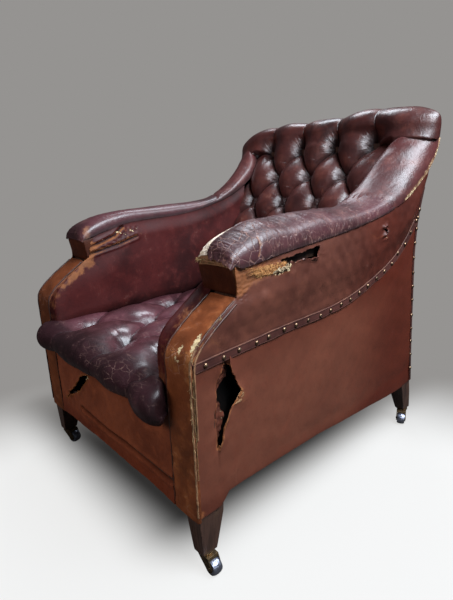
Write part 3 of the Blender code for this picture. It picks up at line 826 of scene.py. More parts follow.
def seat_marks(u, v):
    x, along, across, _ = seat_lattice(u, v)
    place = seat_place(u, v)
    front = smoothstep(-along, 0.03, 0.08)
    ends = smoothstep(np.abs(x), 0.200, 0.235) * smoothstep(place[:, 1], 0.050, -0.005)
    left = smoothstep(-x, 0.145, 0.195) * smoothstep(place[:, 1], 0.024, -0.002)
    low = smoothstep(SEAT_LINE.at(v)[:, 1] - place[:, 2], 0.016, 0.036) * (along > -0.02)
    edge = smoothstep(np.abs(x), 0.238, 0.262) * (along > -0.06)
    # Painted shade: over the front lip, under it, at the sides and ends, in low places, and darkest
    # at the lip's left end.
    crease = np.maximum.reduce([low * 0.45, edge * 0.6, ends * 0.40 * (x > 0), left * 0.94,
                                smoothstep(place[:, 2], 0.362, 0.340) * 0.6, 0.86 * front])
    worn = 0.05 + 0.05 * front + 0.10 * smoothstep(uneven(place, 0.06, 7), 0.5, 1.0)
    knob = hill(np.hypot(place[:, 0] - 0.245, place[:, 2] - 0.372), 0.018)
    return {"across": across / SEAT_PITCH / MARK_ROWS + 0.5,
            "along": along / SEAT_ROW / MARK_ROWS + 0.5,
            "crease": crease * (1 - 0.5 * knob * front), "worn": worn + 0.28 * knob * front,
            "cracked": 0.16 + 0.20 * front * smoothstep(x, -0.05, 0.10)
            * smoothstep(x, 0.27, 0.19)}


def seat_buttons():
    """Where the seat's buttons are, as (across, behind the first row)."""
    rows = []
    for count in range(5):
        half = 0.5 * (count % 2)
        rows += [((step + half) * SEAT_PITCH, count * SEAT_ROW) for step in (-2, -1, 0, 1)
                 if abs((step + half) * SEAT_PITCH) < 0.28]
    return rows


def seat(finish):
    piece = grid("seat_cushion", 236, 320, seat_place, (0, -0.3, 1), seat_marks)
    soften(piece)
    count = len(piece.data.vertices)
    work_on(piece)
    bpy.ops.object.mode_set(mode="EDIT")
    bpy.ops.mesh.select_all(action="DESELECT")
    bpy.ops.mesh.select_mode(type="EDGE")
    bpy.ops.mesh.select_non_manifold(extend=False)
    bpy.ops.mesh.extrude_region_move()
    bpy.ops.object.mode_set(mode="OBJECT")
    place = points_of(piece)
    fresh = place[count:]
    fresh[:, 2] = SEAT_UNDERSIDE
    fresh[:, 1] = np.clip(fresh[:, 1], 0.010, 0.598)
    fresh[:, 0] = np.clip(fresh[:, 0], -0.262, 0.262)
    place_points(piece, place)
    bpy.ops.object.mode_set(mode="EDIT")
    bpy.ops.mesh.edge_face_add()
    face_out(piece)
    finished(piece, finish, ("seat_cover", "seat_stuffing"))
    places = [((a, b + SEAT_FIRST, 0.3700), (0, 0, 1)) for a, b in seat_buttons()
              if abs(a) < 0.25 and b < 0.45]
    buttons = domes("seat_buttons", places, 0.0080, 0.0045)
    mark(buttons, across=0.5, along=0.9, worn=0.1)
    finished(buttons, finish)


# Back

BACK_PITCH, BACK_ROW = 0.131, 0.0914
BACK_HALF, BACK_CROWN = 0.262, 0.046
BACK_BROW, BACK_FADE = 0.88, 0.060  # how full the channels of the top roll are, and how soon
BACK_LINE = Line([(0.528, 0.417), (0.540, 0.437), (0.600, 0.538), (0.660, 0.639),
                  (0.718, 0.737), (0.7745, 0.832), (0.789, 0.858), (0.799, 0.880),
                  (0.806, 0.903), (0.822, 0.923), (0.849, 0.9325), (0.872, 0.927),
                  (0.889, 0.911), (0.895, 0.888), (0.889, 0.866), (0.879, 0.856)])
BACK_TOP_ROW = 0.858
BACK_END = 0.1965  # the outermost buttons, from the middle
ROLL_CENTRE = (0.850, 0.887)


def back_along(v):
    """How far below the top row of buttons each place is."""
    heights = BACK_LINE.points[:, 1]
    crossing = np.interp(BACK_TOP_ROW, heights[:140], BACK_LINE.reach[:140])
    return crossing - v * BACK_LINE.length


def back_lattice(u, v):
    """Across, and below the top row of buttons, for each place on the back."""
    w = 2 * u - 1
    along = back_along(v)
    roll = smoothstep(-along, -0.030, 0.004)
    turn = np.clip((np.abs(w) - 0.82) / 0.18, 0, 1) * math.pi / 2
    straight = 0.240 + np.where(w > 0, 0.052, 0.056) * roll
    x = np.sign(w) * (np.minimum(np.abs(w) / 0.82, 1) * straight
                      + (BACK_HALF + 0.103 * roll - straight) * np.sin(turn))
    return x, along, roll, turn


def back_shift(x, along):
    """Where the last pleats go: from the end buttons straight out under the top roll."""
    edge = BACK_ROW * (np.abs(x) - BACK_END) / (BACK_PITCH / 2)
    corner = (edge > 0) & (along > 0) & (along < BACK_ROW) & (edge < BACK_ROW)
    return np.where(corner, edge + along * (1 - edge / BACK_ROW), along)


def back_place(u, v):
    x, along, roll, turn = back_lattice(u, v)
    reach = np.abs(x)
    across = x - BACK_PITCH / 2
    height = tufts(across, back_shift(x, along), BACK_PITCH, BACK_ROW, BACK_CROWN, pleat=0.008,
                   sharp=0.44, brow=BACK_BROW, fade=BACK_FADE, sag=0.14, seed=1)
    floor = BACK_BROW * (1 - hill(np.minimum(along, 0), BACK_FADE))
    plain = np.sin(np.clip((reach - BACK_END) / 0.070, 0, 1) * math.pi / 2) ** 1.1
    plain = plain - 0.45 * (np.clip(reach - BACK_HALF, 0, 1) / 0.10) ** 2
    plain = BACK_CROWN * (floor + (1 - floor) * plain)
    height = np.where((reach > BACK_END) & (along <= 0), plain, height)
    beside = 0.55 * smoothstep(reach, 0.225, 0.256) * (1 - roll)
    height += beside * (0.7 * BACK_CROWN - height)
    height += gathers(x, along, back_buttons(), reach=0.017, height=0.0008, seed=8)
    height -= dimples(x, along, back_buttons(), reach=0.018, depth=0.009)
    height += 0.0016 * uneven(np.c_[x * 1.5, along], 0.10, 21)
    height += 0.0155 * hill(x - 0.19, 0.085) * smoothstep(-along, 0.02, 0.06)
    depth = BACK_CROWN - height - 0.003 * roll + 0.024 * (1 - roll) * (1 - np.cos(turn))
    place = BACK_LINE.at(v) - BACK_LINE.side(v) * depth[:, None]
    blunt = np.where(x[:, None] > 0, (0.95, 0.45), (0.60, 0.60))
    rounding = np.maximum(np.cos(turn), 0.00002)[:, None] ** blunt
    rounding = 1 - roll[:, None] * (1 - rounding)
    centre = np.c_[0 * x + ROLL_CENTRE[0], np.minimum(place[:, 1], ROLL_CENTRE[1])]
    place = centre + (place - centre) * rounding
    place[:, 1] -= roll * (0.006 * (reach / 0.36) ** 2 + 0.024 * smoothstep(-x, 0.22, 0.36))
    return np.c_[x, place]


def back_marks(u, v):
    x, along, _, turn = back_lattice(u, v)
    place = back_place(u, v)
    sunk = np.linalg.norm(place[:, 1:] - BACK_LINE.at(v), axis=1)
    low = smoothstep(sunk, 0.018, 0.042) * (along > -0.05) * (turn < 0.1)
    side = smoothstep(np.abs(x), 0.230, 0.250) * (along > 0.03)
    across = np.clip(x, -BACK_HALF, BACK_HALF)
    return {"across": (across - BACK_PITCH / 2) / BACK_PITCH / MARK_ROWS + 0.5,
            "along": back_shift(x, along) / BACK_ROW / MARK_ROWS + 0.5,
            # Painted shade in the sunk valleys and beside the side rolls.
            "crease": np.maximum(low * 0.72, side * 0.6),
            "worn": 0.05 + 0.12 * smoothstep(uneven(place, 0.07, 4), 0.4, 1.0),
            "cracked": 0.10 * smoothstep(uneven(place, 0.08, 5), 0.2, 1.0)}


def back_buttons():
    """Where the back's buttons are, as (across, below the top row)."""
    rows = []
    for count in range(6):
        half = 0.5 * ((count + 1) % 2)
        rows += [((step + half) * BACK_PITCH, count * BACK_ROW) for step in (-2, -1, 0, 1, 2)
                 if abs((step + half) * BACK_PITCH) < 0.21]
    return rows


def back(finish):
    piece = grid("back_cushion", 236, 270, back_place, (0, -1, 0.5),
                 lambda u, v: {**back_marks(u, v), "left": u, "low": v})
    soften(piece)
    shares = marked(piece, "left")
    select_edges(piece, (shares < 1e-4) | (shares > 1 - 1e-4))
    bpy.ops.mesh.bridge_edge_loops()
    bpy.ops.object.mode_set(mode="OBJECT")
    heights = marked(piece, "low")
    for end in (heights < 1e-4, heights > 1 - 1e-4):
        select_edges(piece, end)
        bpy.ops.mesh.edge_face_add()
        bpy.ops.object.mode_set(mode="OBJECT")
    face_out(piece)
    finished(piece, finish, ("back_cover", "back_stuffing"))
    lean = np.array((0.515, 0.857))
    places = [((a, *(np.array((0.8310, 0.8340)) - b * lean)), (0, -lean[1], lean[0]))
              for a, b in back_buttons() if b < 0.44]
    buttons = domes("back_buttons", places, 0.0080, 0.0045)
    mark(buttons, across=0.5, along=0.9, worn=0.1)
    finished(buttons, finish)


# Arms

OUTER_SEAM = [(0.106, 0.612), (0.112, 0.617), (0.130, 0.619), (0.160, 0.622), (0.205, 0.628),
              (0.260, 0.634), (0.340, 0.641), (0.430, 0.649), (0.510, 0.659), (0.620, 0.677),
              (0.690, 0.697), (0.745, 0.717), (0.800, 0.750), (0.843, 0.797), (0.864, 0.834),
              (0.874, 0.852)]
CREST = [(0.099, 0.618), (0.103, 0.640), (0.120, 0.657), (0.160, 0.672), (0.205, 0.681),
         (0.260, 0.6865), (0.340, 0.688), (0.430, 0.689), (0.510, 0.691), (0.590, 0.701),
         (0.645, 0.722), (0.693, 0.752), (0.738, 0.790), (0.770, 0.822), (0.792, 0.846),
         (0.806, 0.860)]
INNER_SEAM = [(0.108, 0.610), (0.114, 0.617), (0.130, 0.622), (0.160, 0.631), (0.205, 0.642),
              (0.260, 0.653), (0.340, 0.657), (0.430, 0.661), (0.500, 0.669), (0.570, 0.684),
              (0.625, 0.699), (0.676, 0.720), (0.730, 0.750), (0.774, 0.784), (0.798, 0.822),
              (0.812, 0.846)]
PAD_OUT = [0.350] * 10 + [0.351, 0.353, 0.357, 0.361, 0.361, 0.358]
PAD_IN = [0.250, 0.248, 0.246, 0.246, 0.247, 0.247, 0.247, 0.247, 0.247, 0.246, 0.244, 0.240,
          0.238, 0.241, 0.254, 0.272]


def pad_shell(side, where, u, seed, sink=0.0):
    """The pad's skin: where counts along the seam and crest points, u goes round it from the
    outside, and sink sets it deeper."""
    outer, crest, inner = (spline(line, where) for line in (OUTER_SEAM, CREST, INNER_SEAM))
    widths = spline(np.c_[PAD_OUT, PAD_IN], where)
    turn = u * math.pi
    share = (1 - np.cos(turn)) / 2
    rise = np.abs(np.sin(turn)) ** 0.62
    flat = outer * (1 - share[:, None]) + inner * share[:, None]
    lift = (crest - (outer + inner) / 2) * rise[:, None]
    centre, half = widths.sum(axis=1) / 2, (widths[:, 0] - widths[:, 1]) / 2 - sink
    x = centre + half * np.cos(turn)
    tall = np.linalg.norm(lift, axis=1, keepdims=True)
    up = lift / (tall + 1e-6)
    flat = flat + lift - up * np.minimum(np.reshape(sink, (-1, 1)), tall * 0.5)
    along = where / (len(CREST) - 1)
    ruck = uneven(np.c_[along * 3.0 + np.sin(turn) * 0.06, x * 0.7], 0.055, seed)
    swell = uneven(np.c_[along, x], 0.16, seed + 1)
    rough = (0.0007 * smoothstep(where, 9, 6) if side > 0 else 0.0002) * ruck + 0.0024 * swell
    flat = flat + up * (rough * rise)[:, None]
    hang = smoothstep(where, 0.8, 2.0) * smoothstep(where, 12.0, 10.0)
    x = x + 0.0042 * hang * hill(u, 0.16)
    flat[:, 1] -= 0.0075 * hang * hill(u, 0.10)
    return np.c_[side * x, flat]


BURST = ((0, 0.05), (0.10, 0.10), (0.25, 0.28), (0.40, 0.44), (0.52, 0.52), (0.585, 0.58),
         (0.597, 0.80), (0.602, 1.6), (0.608, 2.8), (0.63, 3.8), (0.80, 4.2), (1.0, 4.5))
PAD_SPLIT = [(0.179, 0.660), (0.178, 0.648), (0.174, 0.636), (0.168, 0.626)]
PAD_SEEDS = {"right": 31, "left": 41}


def arm_pad(word, side, made):
    seed = PAD_SEEDS[word]

    def split_at(place, u):
        return hill(from_line(place[:, 1:], PAD_SPLIT), 0.0022) * (u < 0.4)

    def begins(u):
        if side < 0:
            return 0 * u
        found = np.interp(u, *zip(*BURST))
        return found + 0.09 * uneven(np.c_[u, 0 * u], 0.030, 3) * (u > 0.05)

    def ends(u):
        return 9.5 + (0.22 if side > 0 else 0.05) * uneven(np.c_[u, 0 * u], 0.05, 4)

    def front_part(u, v):
        place = pad_shell(side, begins(u) + (ends(u) - begins(u)) * v, u, seed)
        if side > 0:
            lip = hill(v, 0.030) * smoothstep(u, 0.58, 0.50)
            place[:, 1] -= (0.0055 + 0.0050 * smoothstep(u, 0.42, 0.60)) * lip
            place[:, 2] -= 0.0015 * lip
            place[:, 0] -= 0.0016 * split_at(place, u)
        return place

    def rear_part(u, v):
        where = 8.7 + 6.3 * v
        return pad_shell(side, where, u, seed, 0.0035 * smoothstep(where, 9.9, 9.4))

    def front_marks(u, v):
        place = front_part(u, v)
        x, depth = np.abs(place[:, 0]), place[:, 1]
        rim, last = hill(v, 0.006), hill(1 - v, 0.008)
        front = smoothstep(depth, 0.26, 0.15)
        seam = hill(u, 0.02) + hill(1 - u, 0.025)
        if side > 0:
            split = split_at(place, u)
            corner = smoothstep(depth, 0.172, 0.145) * smoothstep(place[:, 2], 0.646, 0.630)
            # Painted shade along both seams; darker over the pad's front end.
            return {"cracked": 0.46 + 0.54 * front,
                    "worn": 0.16 + 0.30 * rim + 0.15 * last + 0.6 * split + 0.16 * corner,
                    "bare": 0.45 * rim + 0.30 * last + 0.45 * split,
                    "crease": np.maximum(0.42 * front * smoothstep(depth, 0.20, 0.15)
                                         * smoothstep(u, 0.1, 0.3), 0.75 * seam)}
        nose = hill(np.hypot(depth - 0.122, x - 0.255), 0.014)
        # Painted shade along both seams; darker over the outer part of the pad's front end.
        return {"cracked": 0.10 + 0.12 * front, "worn": 0.10 + 0.65 * nose, "bare": 0.2 * nose,
                "crease": np.maximum(0.7 * smoothstep(depth, 0.150, 0.115)
                                     * smoothstep(u, 0.85, 0.6), 0.8 * seam)}

    def rear_marks(u, v):
        seam = hill(1 - u, 0.04)
        fray = hill(u, 0.030) * smoothstep(v, 0.15, 0.30) * (side > 0)
        # Painted shade along the inner seam.
        return {"cracked": 0.10 + 0.1 * fray, "worn": 0.06 + 0.65 * fray,
                "bare": 0.55 * fray, "crease": 0.7 * seam}

    piece = grid("arm_pad_leather_" + word, 64, 230, front_part, (0, -0.2, 1), front_marks)
    thicken(piece)
    finished(piece, made["pad"])
    piece = grid("side_roll_leather_" + word, 64, 110, rear_part, (0, -0.5, 1), rear_marks)
    thicken(piece)
    finished(piece, made["roll"])


def arm_end_block(word, side, finish):
    """The block under the pad's front end, wider in front than behind."""
    deselect()
    bpy.ops.mesh.primitive_cube_add(size=2)
    block = bpy.context.object
    block.name = "arm_end_block_" + word
    low = np.array(((0.1165, 0.5600), (0.1380, 0.5600)))
    high = np.array(((0.1075, 0.6170), (0.1400, 0.6210)))
    spots = []
    for vertex in block.data.vertices:
        across, behind, up = (np.array(vertex.co) + 1) / 2
        near, far = low + (high - low) * up
        spots.append((side * (0.2485 + 0.0990 * across), *(near + (far - near) * behind)))
    place_points(block, np.array(spots))
    modify(block, "BEVEL", width=0.004, segments=3)
    modify(block, "SUBSURF", levels=2, render_levels=2, subdivision_type="SIMPLE")
    place = points_of(block)
    place[:, 1] -= 0.0018 * uneven(place, 0.05, 5) * (place[:, 1] < 0.125)
    place_points(block, place)
    corner = hill(np.abs(place[:, 0]) - 0.3475, 0.003) + 0.6 * hill(place[:, 2] - 0.618, 0.004)
    mark(block, worn=0.5 * corner)
    finished(block, finish, ("arm_pad_" + word,))


INSIDE_FRONT = Line([(0.004, 0.352), (0.001, 0.380), (0.0005, 0.420), (0.002, 0.450),
                     (0.008, 0.471), (0.021, 0.488), (0.042, 0.505), (0.066, 0.523),
                     (0.094, 0.543), (0.114, 0.556), (0.121, 0.575), (0.119, 0.600),
                     (0.118, 0.615)])
INSIDE_LOW = Line([(0.004, 0.352), (0.030, 0.372), (0.060, 0.381), (0.100, 0.384), (0.200, 0.388),
                   (0.320, 0.392), (0.440, 0.398), (0.562, 0.430)])
INSIDE_TOP = Line([(0.118, 0.615), *INNER_SEAM[2:12], (0.728, 0.749)])
INSIDE_BACK = Line([(0.562, 0.430), (0.610, 0.510), (0.663, 0.600), (0.706, 0.690),
                    (0.728, 0.749)])
SLITS = [[(0.118, 0.594), (0.160, 0.607), (0.200, 0.620), (0.228, 0.641)],
         [(0.112, 0.575), (0.160, 0.586), (0.215, 0.597), (0.268, 0.611)]]
BETWEEN_SLITS = [*SLITS[0], (0.283, 0.637), *SLITS[1][::-1]]


def inside_place(side, seed):
    def place(u, v):
        u = u ** 1.25
        flat = patch(INSIDE_LOW, INSIDE_TOP, INSIDE_FRONT, INSIDE_BACK, u, v)
        from_front = u * 0.6
        rise = np.sqrt(1 - (1 - np.clip(from_front / 0.038, 0, 1)) ** 2)
        x = 0.2718 - 0.034 * rise
        x += 0.022 * (1 - np.clip(v / 0.16, 0, 1)) ** 2 * rise
        x += 0.010 * smoothstep(v, 0.86, 1.0) * rise
        x -= 0.006 * np.sin(np.clip(v, 0, 1) * math.pi) * rise * smoothstep(u, 0.0, 0.25)
        bulge = 0.0125 * hill(from_front - 0.018, 0.013)
        bulge -= 0.0125 * hill(0.018, 0.013) * (from_front < 0.06) * (1 - from_front / 0.06)
        flat = flat + (INSIDE_FRONT.side(v) * bulge[:, None]
                       * smoothstep(v, 1.0, 0.9)[:, None])
        x += (0.0020 * uneven(flat, 0.15, seed) + 0.0002 * uneven(flat, 0.05, seed + 1)) * rise
        if side < 0:
            for line, depth, width in zip(SLITS, (0.005, 0.003), (0.0040, 0.0045)):
                away = from_line(flat, line)
                x += depth * hill(away, width)
                x -= 0.0020 * hill(away - 0.008, 0.004)
            x += 0.0012 * inside(flat, BETWEEN_SLITS) * uneven(flat, 0.012, seed + 2)
        return np.c_[side * x, flat]
    return place


def inside_arm(word, side, finish):
    piece = grid("inside_arm_leather_" + word, 220, 130, inside_place(side, 51 if side > 0 else 61),
                 (-side, 0, 0))
    thicken(piece)
    place = points_of(piece)
    flat = place[:, 1:]
    edge = from_line(flat, INSIDE_FRONT.points[::4])
    floor = from_line(flat, INSIDE_LOW.points[::4])
    # Painted shade where the arm meets the seat and along the seam under the pad.
    crease = 0.6 * hill(floor, 0.012) + 0.35 * hill(floor, 0.045)
    seam = from_line(flat, INNER_SEAM)
    crease = np.maximum(crease, 0.85 * hill(seam, 0.0025))
    if side < 0:
        high = smoothstep(flat[:, 1], 0.45, 0.56)
        worn = (0.36 + 0.4 * high) * hill(edge, 0.009 + 0.008 * high)
        worn *= 1 + 0.5 * uneven(flat, 0.025, 14)
        worn += 0.45 * hill(np.hypot(flat[:, 0] - 0.108, flat[:, 1] - 0.557), 0.014)
        bare = 0.30 * hill(edge, 0.004) * high
        for y, z, size in ((0.216, 0.627, 0.0050), (0.256, 0.628, 0.0046), (0.236, 0.619, 0.0038),
                           (0.271, 0.633, 0.0030), (0.165, 0.612, 0.0030)):
            slant = flat[:, 1] - z + 0.35 * (flat[:, 0] - y)
            bare += 0.68 * hill(np.hypot((flat[:, 0] - y) * 0.42, slant), size)
        worn += 0.30 * inside(flat, BETWEEN_SLITS)
        for line in SLITS:
            away = from_line(flat, line)
            worn += 0.55 * hill(away - 0.0045, 0.0022)
            # Painted shade in each slit.
            crease = np.maximum(crease, 0.98 * hill(away, 0.0026))
    else:
        worn, bare = 0.35 * hill(edge, 0.010), 0
    mark(piece, crease=crease, worn=worn, bare=bare, cracked=0.1)
    finished(piece, finish, ("inside_arm_" + word,))


FACING_MIDDLE = 0.311
FACING = Line([(0.0, 0.132), (0.0, 0.200), (0.0, 0.300), (0.0, 0.400), (0.0, 0.440),
               (0.0005, 0.455), (0.004, 0.470), (0.017, 0.488), (0.038, 0.506), (0.062, 0.524),
               (0.091, 0.543), (0.112, 0.557)])


def facing_place(side, seed):
    def place(u, v):
        w = 2 * u - 1
        turn = np.clip((np.abs(w) - 0.86) / 0.14, 0, 1) * math.pi / 2
        half, corner = 0.039, 0.005
        x = FACING_MIDDLE + np.sign(w) * (np.minimum(np.abs(w) / 0.86, 1) * (half - corner)
                                          + corner * np.sin(turn))
        x = np.minimum(x, 0.350)
        out = FACING.side(v)
        flat = FACING.at(v) + out * (0.001 - 0.0065 * (1 - np.cos(turn)))[:, None]
        bow = 0.0016 * np.cos(w * math.pi / 2) + 0.0008 * uneven(np.c_[x, v], 0.05, seed)
        flat += out * bow[:, None]
        narrow = 0.004 * smoothstep(flat[:, 1], 0.46, 0.54) * (1 - u)
        return np.c_[side * (x + narrow), flat]
    return place


def facing(word, side, finish, piping, thread):
    piece = grid("arm_facing_leather_" + word, 40, 210, facing_place(side, 71), (0, -1, 0.3))
    thicken(piece)
    place = points_of(piece)
    x, flat = np.abs(place[:, 0]), place[:, 1:]
    height = flat[:, 1]
    outer = smoothstep(x, 0.325, 0.349)
    bend = hill(height - 0.462, 0.028)
    if side > 0:
        bare = 0.62 * hill(np.hypot((x - 0.3385) * 1.3, height - 0.503), 0.010)
        bare += 0.66 * hill(np.hypot(x - 0.3415, (height - 0.490) * 0.8), 0.008)
        bare += 0.75 * hill(np.hypot(x - 0.312, height - 0.482), 0.008)
        bare += 0.62 * hill(np.hypot((x - 0.315) * 0.8, height - 0.462), 0.011)
        bare += 0.20 * outer * smoothstep(height, 0.36, 0.42) * smoothstep(height, 0.52, 0.47)
        worn = 0.16 + 0.32 * bend + 0.25 * outer * smoothstep(height, 0.25, 0.45)
        worn += 0.13 * smoothstep(height, 0.42, 0.30) * smoothstep(height, 0.13, 0.18)
        # A darker patch on the facing.
        crease = 0.22 * hill(np.hypot(x - 0.30, (height - 0.40) * 0.25), 0.02)
    else:
        # Painted shade over the whole left facing.
        bare, worn, crease = 0, 0.12 + 0.2 * bend, 0.45 + 0 * x
    # Painted shade towards the bottom and on the sides above the bend.
    low = smoothstep(height, 0.20, 0.14)
    sides = smoothstep(np.abs(x - FACING_MIDDLE), 0.026, 0.037) * smoothstep(height, 0.44, 0.50)
    mark(piece, crease=np.maximum.reduce([crease, 0.12 * low, 0.30 * sides]), worn=worn,
         bare=bare, cracked=0.15 + 0.35 * bend)
    finished(piece, finish, ("arm_facing_" + word,))

    shares = np.linspace(0.03, 0.985, 110)
    at, out = FACING.at(shares), FACING.side(shares)
    wobble = 0.0005 * np.sin(shares * 90)
    cords = [np.c_[side * (0.3485 + wobble), at + out * 0.0008],
             np.c_[side * (0.3515 + 0 * wobble), at - out * 0.0065][40:],
             np.c_[side * (0.2745 + wobble), at + out * 0.0005]]
    cord = tubes("facing_piping_" + word, cords, (0.0021, 0.0021, 0.0018), 8)
    place = points_of(cord)
    height, outer = place[:, 2], place[:, 0] * side > 0.33
    worn = 0.25 + 0.4 * smoothstep(height, 0.52, 0.45) * outer
    if side > 0:
        bare = 0.26 * smoothstep(height, 0.49, 0.46) * smoothstep(height, 0.34, 0.40) * outer
        mark(cord, worn=worn, bare=bare)
    else:
        # Painted shade over the left piping.
        mark(cord, worn=0.2 * worn, crease=0.35)
    finished(cord, piping)
    if side < 0:
        return
    made = np.random.default_rng(9)
    paths, radii = [], []
    for count in range(46):  # most of them low, the rest near the bend
        start = made.uniform(0.30, 0.50) if count < 34 else made.uniform(0.50, 0.545)
        share = np.interp(start, FACING.points[:, 1], FACING.reach) / FACING.length
        root = FACING.at(share) + FACING.side(share) * 0.002
        length = made.uniform(0.004, 0.010)
        lean = made.normal(0, 0.35, 3)
        steps = np.linspace(0, 1, 5)[:, None]
        way = np.array((0.2, -0.25, -0.9)) + lean
        way /= np.linalg.norm(way)
        curl = made.normal(0, 0.0022, 3) * steps ** 2
        paths.append(np.array((0.3495, *root)) + made.normal(0, 0.001, 3)
                     + way * steps * length + curl)
        radii.append(made.uniform(0.00025, 0.00050))
    long = np.c_[0.3512 + 0.0006 * np.sin(shares[20:70] * 70),
                 (at + out * -0.003)[20:70] + made.normal(0, 0.0003, (50, 2))]
    loose = tubes("frayed_piping_thread", [*paths, long], [*radii, 0.0005], 5)
    finished(loose, thread)


# Side panels

PANEL_FACE = 0.3497  # from the middle of the chair
PANEL_LEATHER = 0.0028
BAND = [(0.0035, 0.452), (0.10, 0.458), (0.25, 0.466), (0.40, 0.471), (0.50, 0.484),
        (0.59, 0.510), (0.67, 0.540), (0.735, 0.583), (0.786, 0.637), (0.802, 0.656)]
REAR = [(0.847, 0.147), (0.828, 0.282), (0.809, 0.452), (0.800, 0.536), (0.800, 0.600),
        (0.804, 0.646), (0.823, 0.718), (0.854, 0.795), (0.880, 0.860)]
SIDE_TEAR = [(0.083, 0.443), (0.066, 0.417), (0.057, 0.392), (0.061, 0.364), (0.053, 0.346),
             (0.0545, 0.314), (0.056, 0.270), (0.065, 0.288), (0.073, 0.317), (0.085, 0.340),
             (0.099, 0.353), (0.118, 0.374), (0.107, 0.397), (0.095, 0.419), (0.090, 0.433)]
ARM_TEAR = [(0.229, 0.611), (0.256, 0.614), (0.290, 0.618), (0.325, 0.621), (0.357, 0.626),
            (0.352, 0.613), (0.345, 0.604), (0.323, 0.600), (0.300, 0.604), (0.271, 0.601),
            (0.258, 0.607), (0.252, 0.597), (0.236, 0.596)]
ARM_SCUFF = [(0.112, 0.545), (0.112, 0.616), (0.173, 0.617), (0.240, 0.612), (0.255, 0.592),
             (0.241, 0.582), (0.189, 0.583), (0.150, 0.577), (0.132, 0.548)]
SMALL_TEAR = [(0.611, 0.640), (0.616, 0.625), (0.612, 0.616), (0.619, 0.614), (0.626, 0.622),
              (0.624, 0.640)]
SMALL_FRAY = [(0.563, 0.623), (0.582, 0.615), (0.605, 0.618), (0.626, 0.611)]
ARM_NEAR = Line([(0.001, 0.460), (0.004, 0.471), (0.017, 0.4885), (0.038, 0.5065),
                 (0.062, 0.5245), (0.091, 0.5435), (0.112, 0.5575), (0.1155, 0.575),
                 (0.112, 0.600), (0.110, 0.6165)])
ARM_LOW = Line([(y, z + 0.006) for y, z in BAND])
ARM_HIGH = Line([(0.110, 0.6165), *((y, z - 0.0005) for y, z in OUTER_SEAM[2:14]),
                 (0.866, 0.838), (0.878, 0.856)])
ARM_FAR = Line([(0.802, 0.662), (0.806, 0.670), (0.823, 0.718), (0.854, 0.795), (0.878, 0.856)])


def outside_place(side, seed):
    def place(u, v):
        flat = patch(ARM_LOW, ARM_HIGH, ARM_NEAR, ARM_FAR, u, v)
        bulge = np.sin(np.clip(v, 0, 1) * math.pi) ** 0.8 * np.clip(u * 8, 0, 1) ** 0.6
        bulge *= smoothstep(u, 1.0, 0.85)
        x = PANEL_FACE + 0.0075 * bulge * smoothstep(v, -0.1, 0.5)
        x += 0.0011 * uneven(flat, 0.16, seed) * bulge + 0.0005 * uneven(flat, 0.03, seed + 1)
        if side > 0:
            away = from_line(flat, closed(ARM_TEAR))
            x += (0.0040 * np.exp(-away / 0.008) * (flat[:, 1] < 0.608)
                  * (1 + 0.8 * uneven(flat, 0.02, 5)))
            away = from_line(flat, closed(ARM_SCUFF))
            scuff = inside(flat, ARM_SCUFF) * (1 - np.exp(-away / 0.006))
            x -= scuff * 0.0012 * (1 + uneven(flat * (1, 1.6), 0.010, 7))
            away = from_line(flat, closed(SMALL_TEAR))
            x += 0.0035 * np.exp(-away / 0.006) * (1 + uneven(flat, 0.012, 6))
        return np.c_[side * x, flat]
    return place


def outside_arm(word, side, finish):
    piece = grid("outside_arm_leather_" + word, 260, 84,
                 outside_place(side, 81 if side > 0 else 91), (side, 0, 0))
    if side > 0:
        torn(piece, ragged(ARM_TEAR, step=0.006, depth=0.0026, seed=12), [1, 2], reach=0.0016)
        torn(piece, ragged(SMALL_TEAR, step=0.004, depth=0.0024, seed=13), [1, 2], reach=0.0016)
    thicken(piece, PANEL_LEATHER)
    flat = points_of(piece)[:, 1:]
    high = from_line(flat, ARM_HIGH.points[::5])
    low = from_line(flat, ARM_LOW.points[::5])
    # Painted shade under the pad's overhang and along the band.
    crease = 0.5 * hill(low, 0.006) + 0.35 * hill(high, 0.006)
    near = from_line(flat, ARM_NEAR.points[100:])
    if side > 0:
        away = from_line(flat, closed(ARM_TEAR))
        edge = from_line(flat, closed(ARM_SCUFF))
        scuff = np.where(inside(flat, ARM_SCUFF), 0.62 + 0.38 * smoothstep(edge, 0, 0.010),
                         0.62 * np.exp(-edge / 0.009))
        worn = 0.80 * scuff * smoothstep(flat[:, 1], 0.545, 0.575) + 0.25 * hill(near, 0.015)
        worn += 0.30 * hill(np.hypot(flat[:, 0] - 0.05, flat[:, 1] - 0.478), 0.03)
        fray = from_line(flat, SMALL_FRAY)
        worn += 0.55 * hill(fray, 0.006)
        rag = from_line(flat, [(0.195, 0.590), (0.225, 0.589), (0.252, 0.594)])
        bare = 0.70 * hill(rag, 0.008) + 0.34 * hill(away, 0.0016) + 0.50 * hill(fray, 0.0028)
        rear = from_line(flat, [(0.74, 0.712), (0.80, 0.745), (0.843, 0.79), (0.868, 0.838)])
        bare += 0.42 * hill(rear, 0.004) * (flat[:, 0] > 0.70)
        worn += 0.5 * hill(rear, 0.010) * (flat[:, 0] > 0.66)
    else:
        worn, bare = 0.15 * hill(near, 0.012), 0
    # Painted shade, a deeper red-brown, towards the rear.
    mark(piece, crease=crease * (worn < 0.4), worn=worn, bare=bare,
         rich=0.95 * smoothstep(flat[:, 0], 0.40, 0.62))
    finished(piece, finish, ("outside_arm_" + word,))


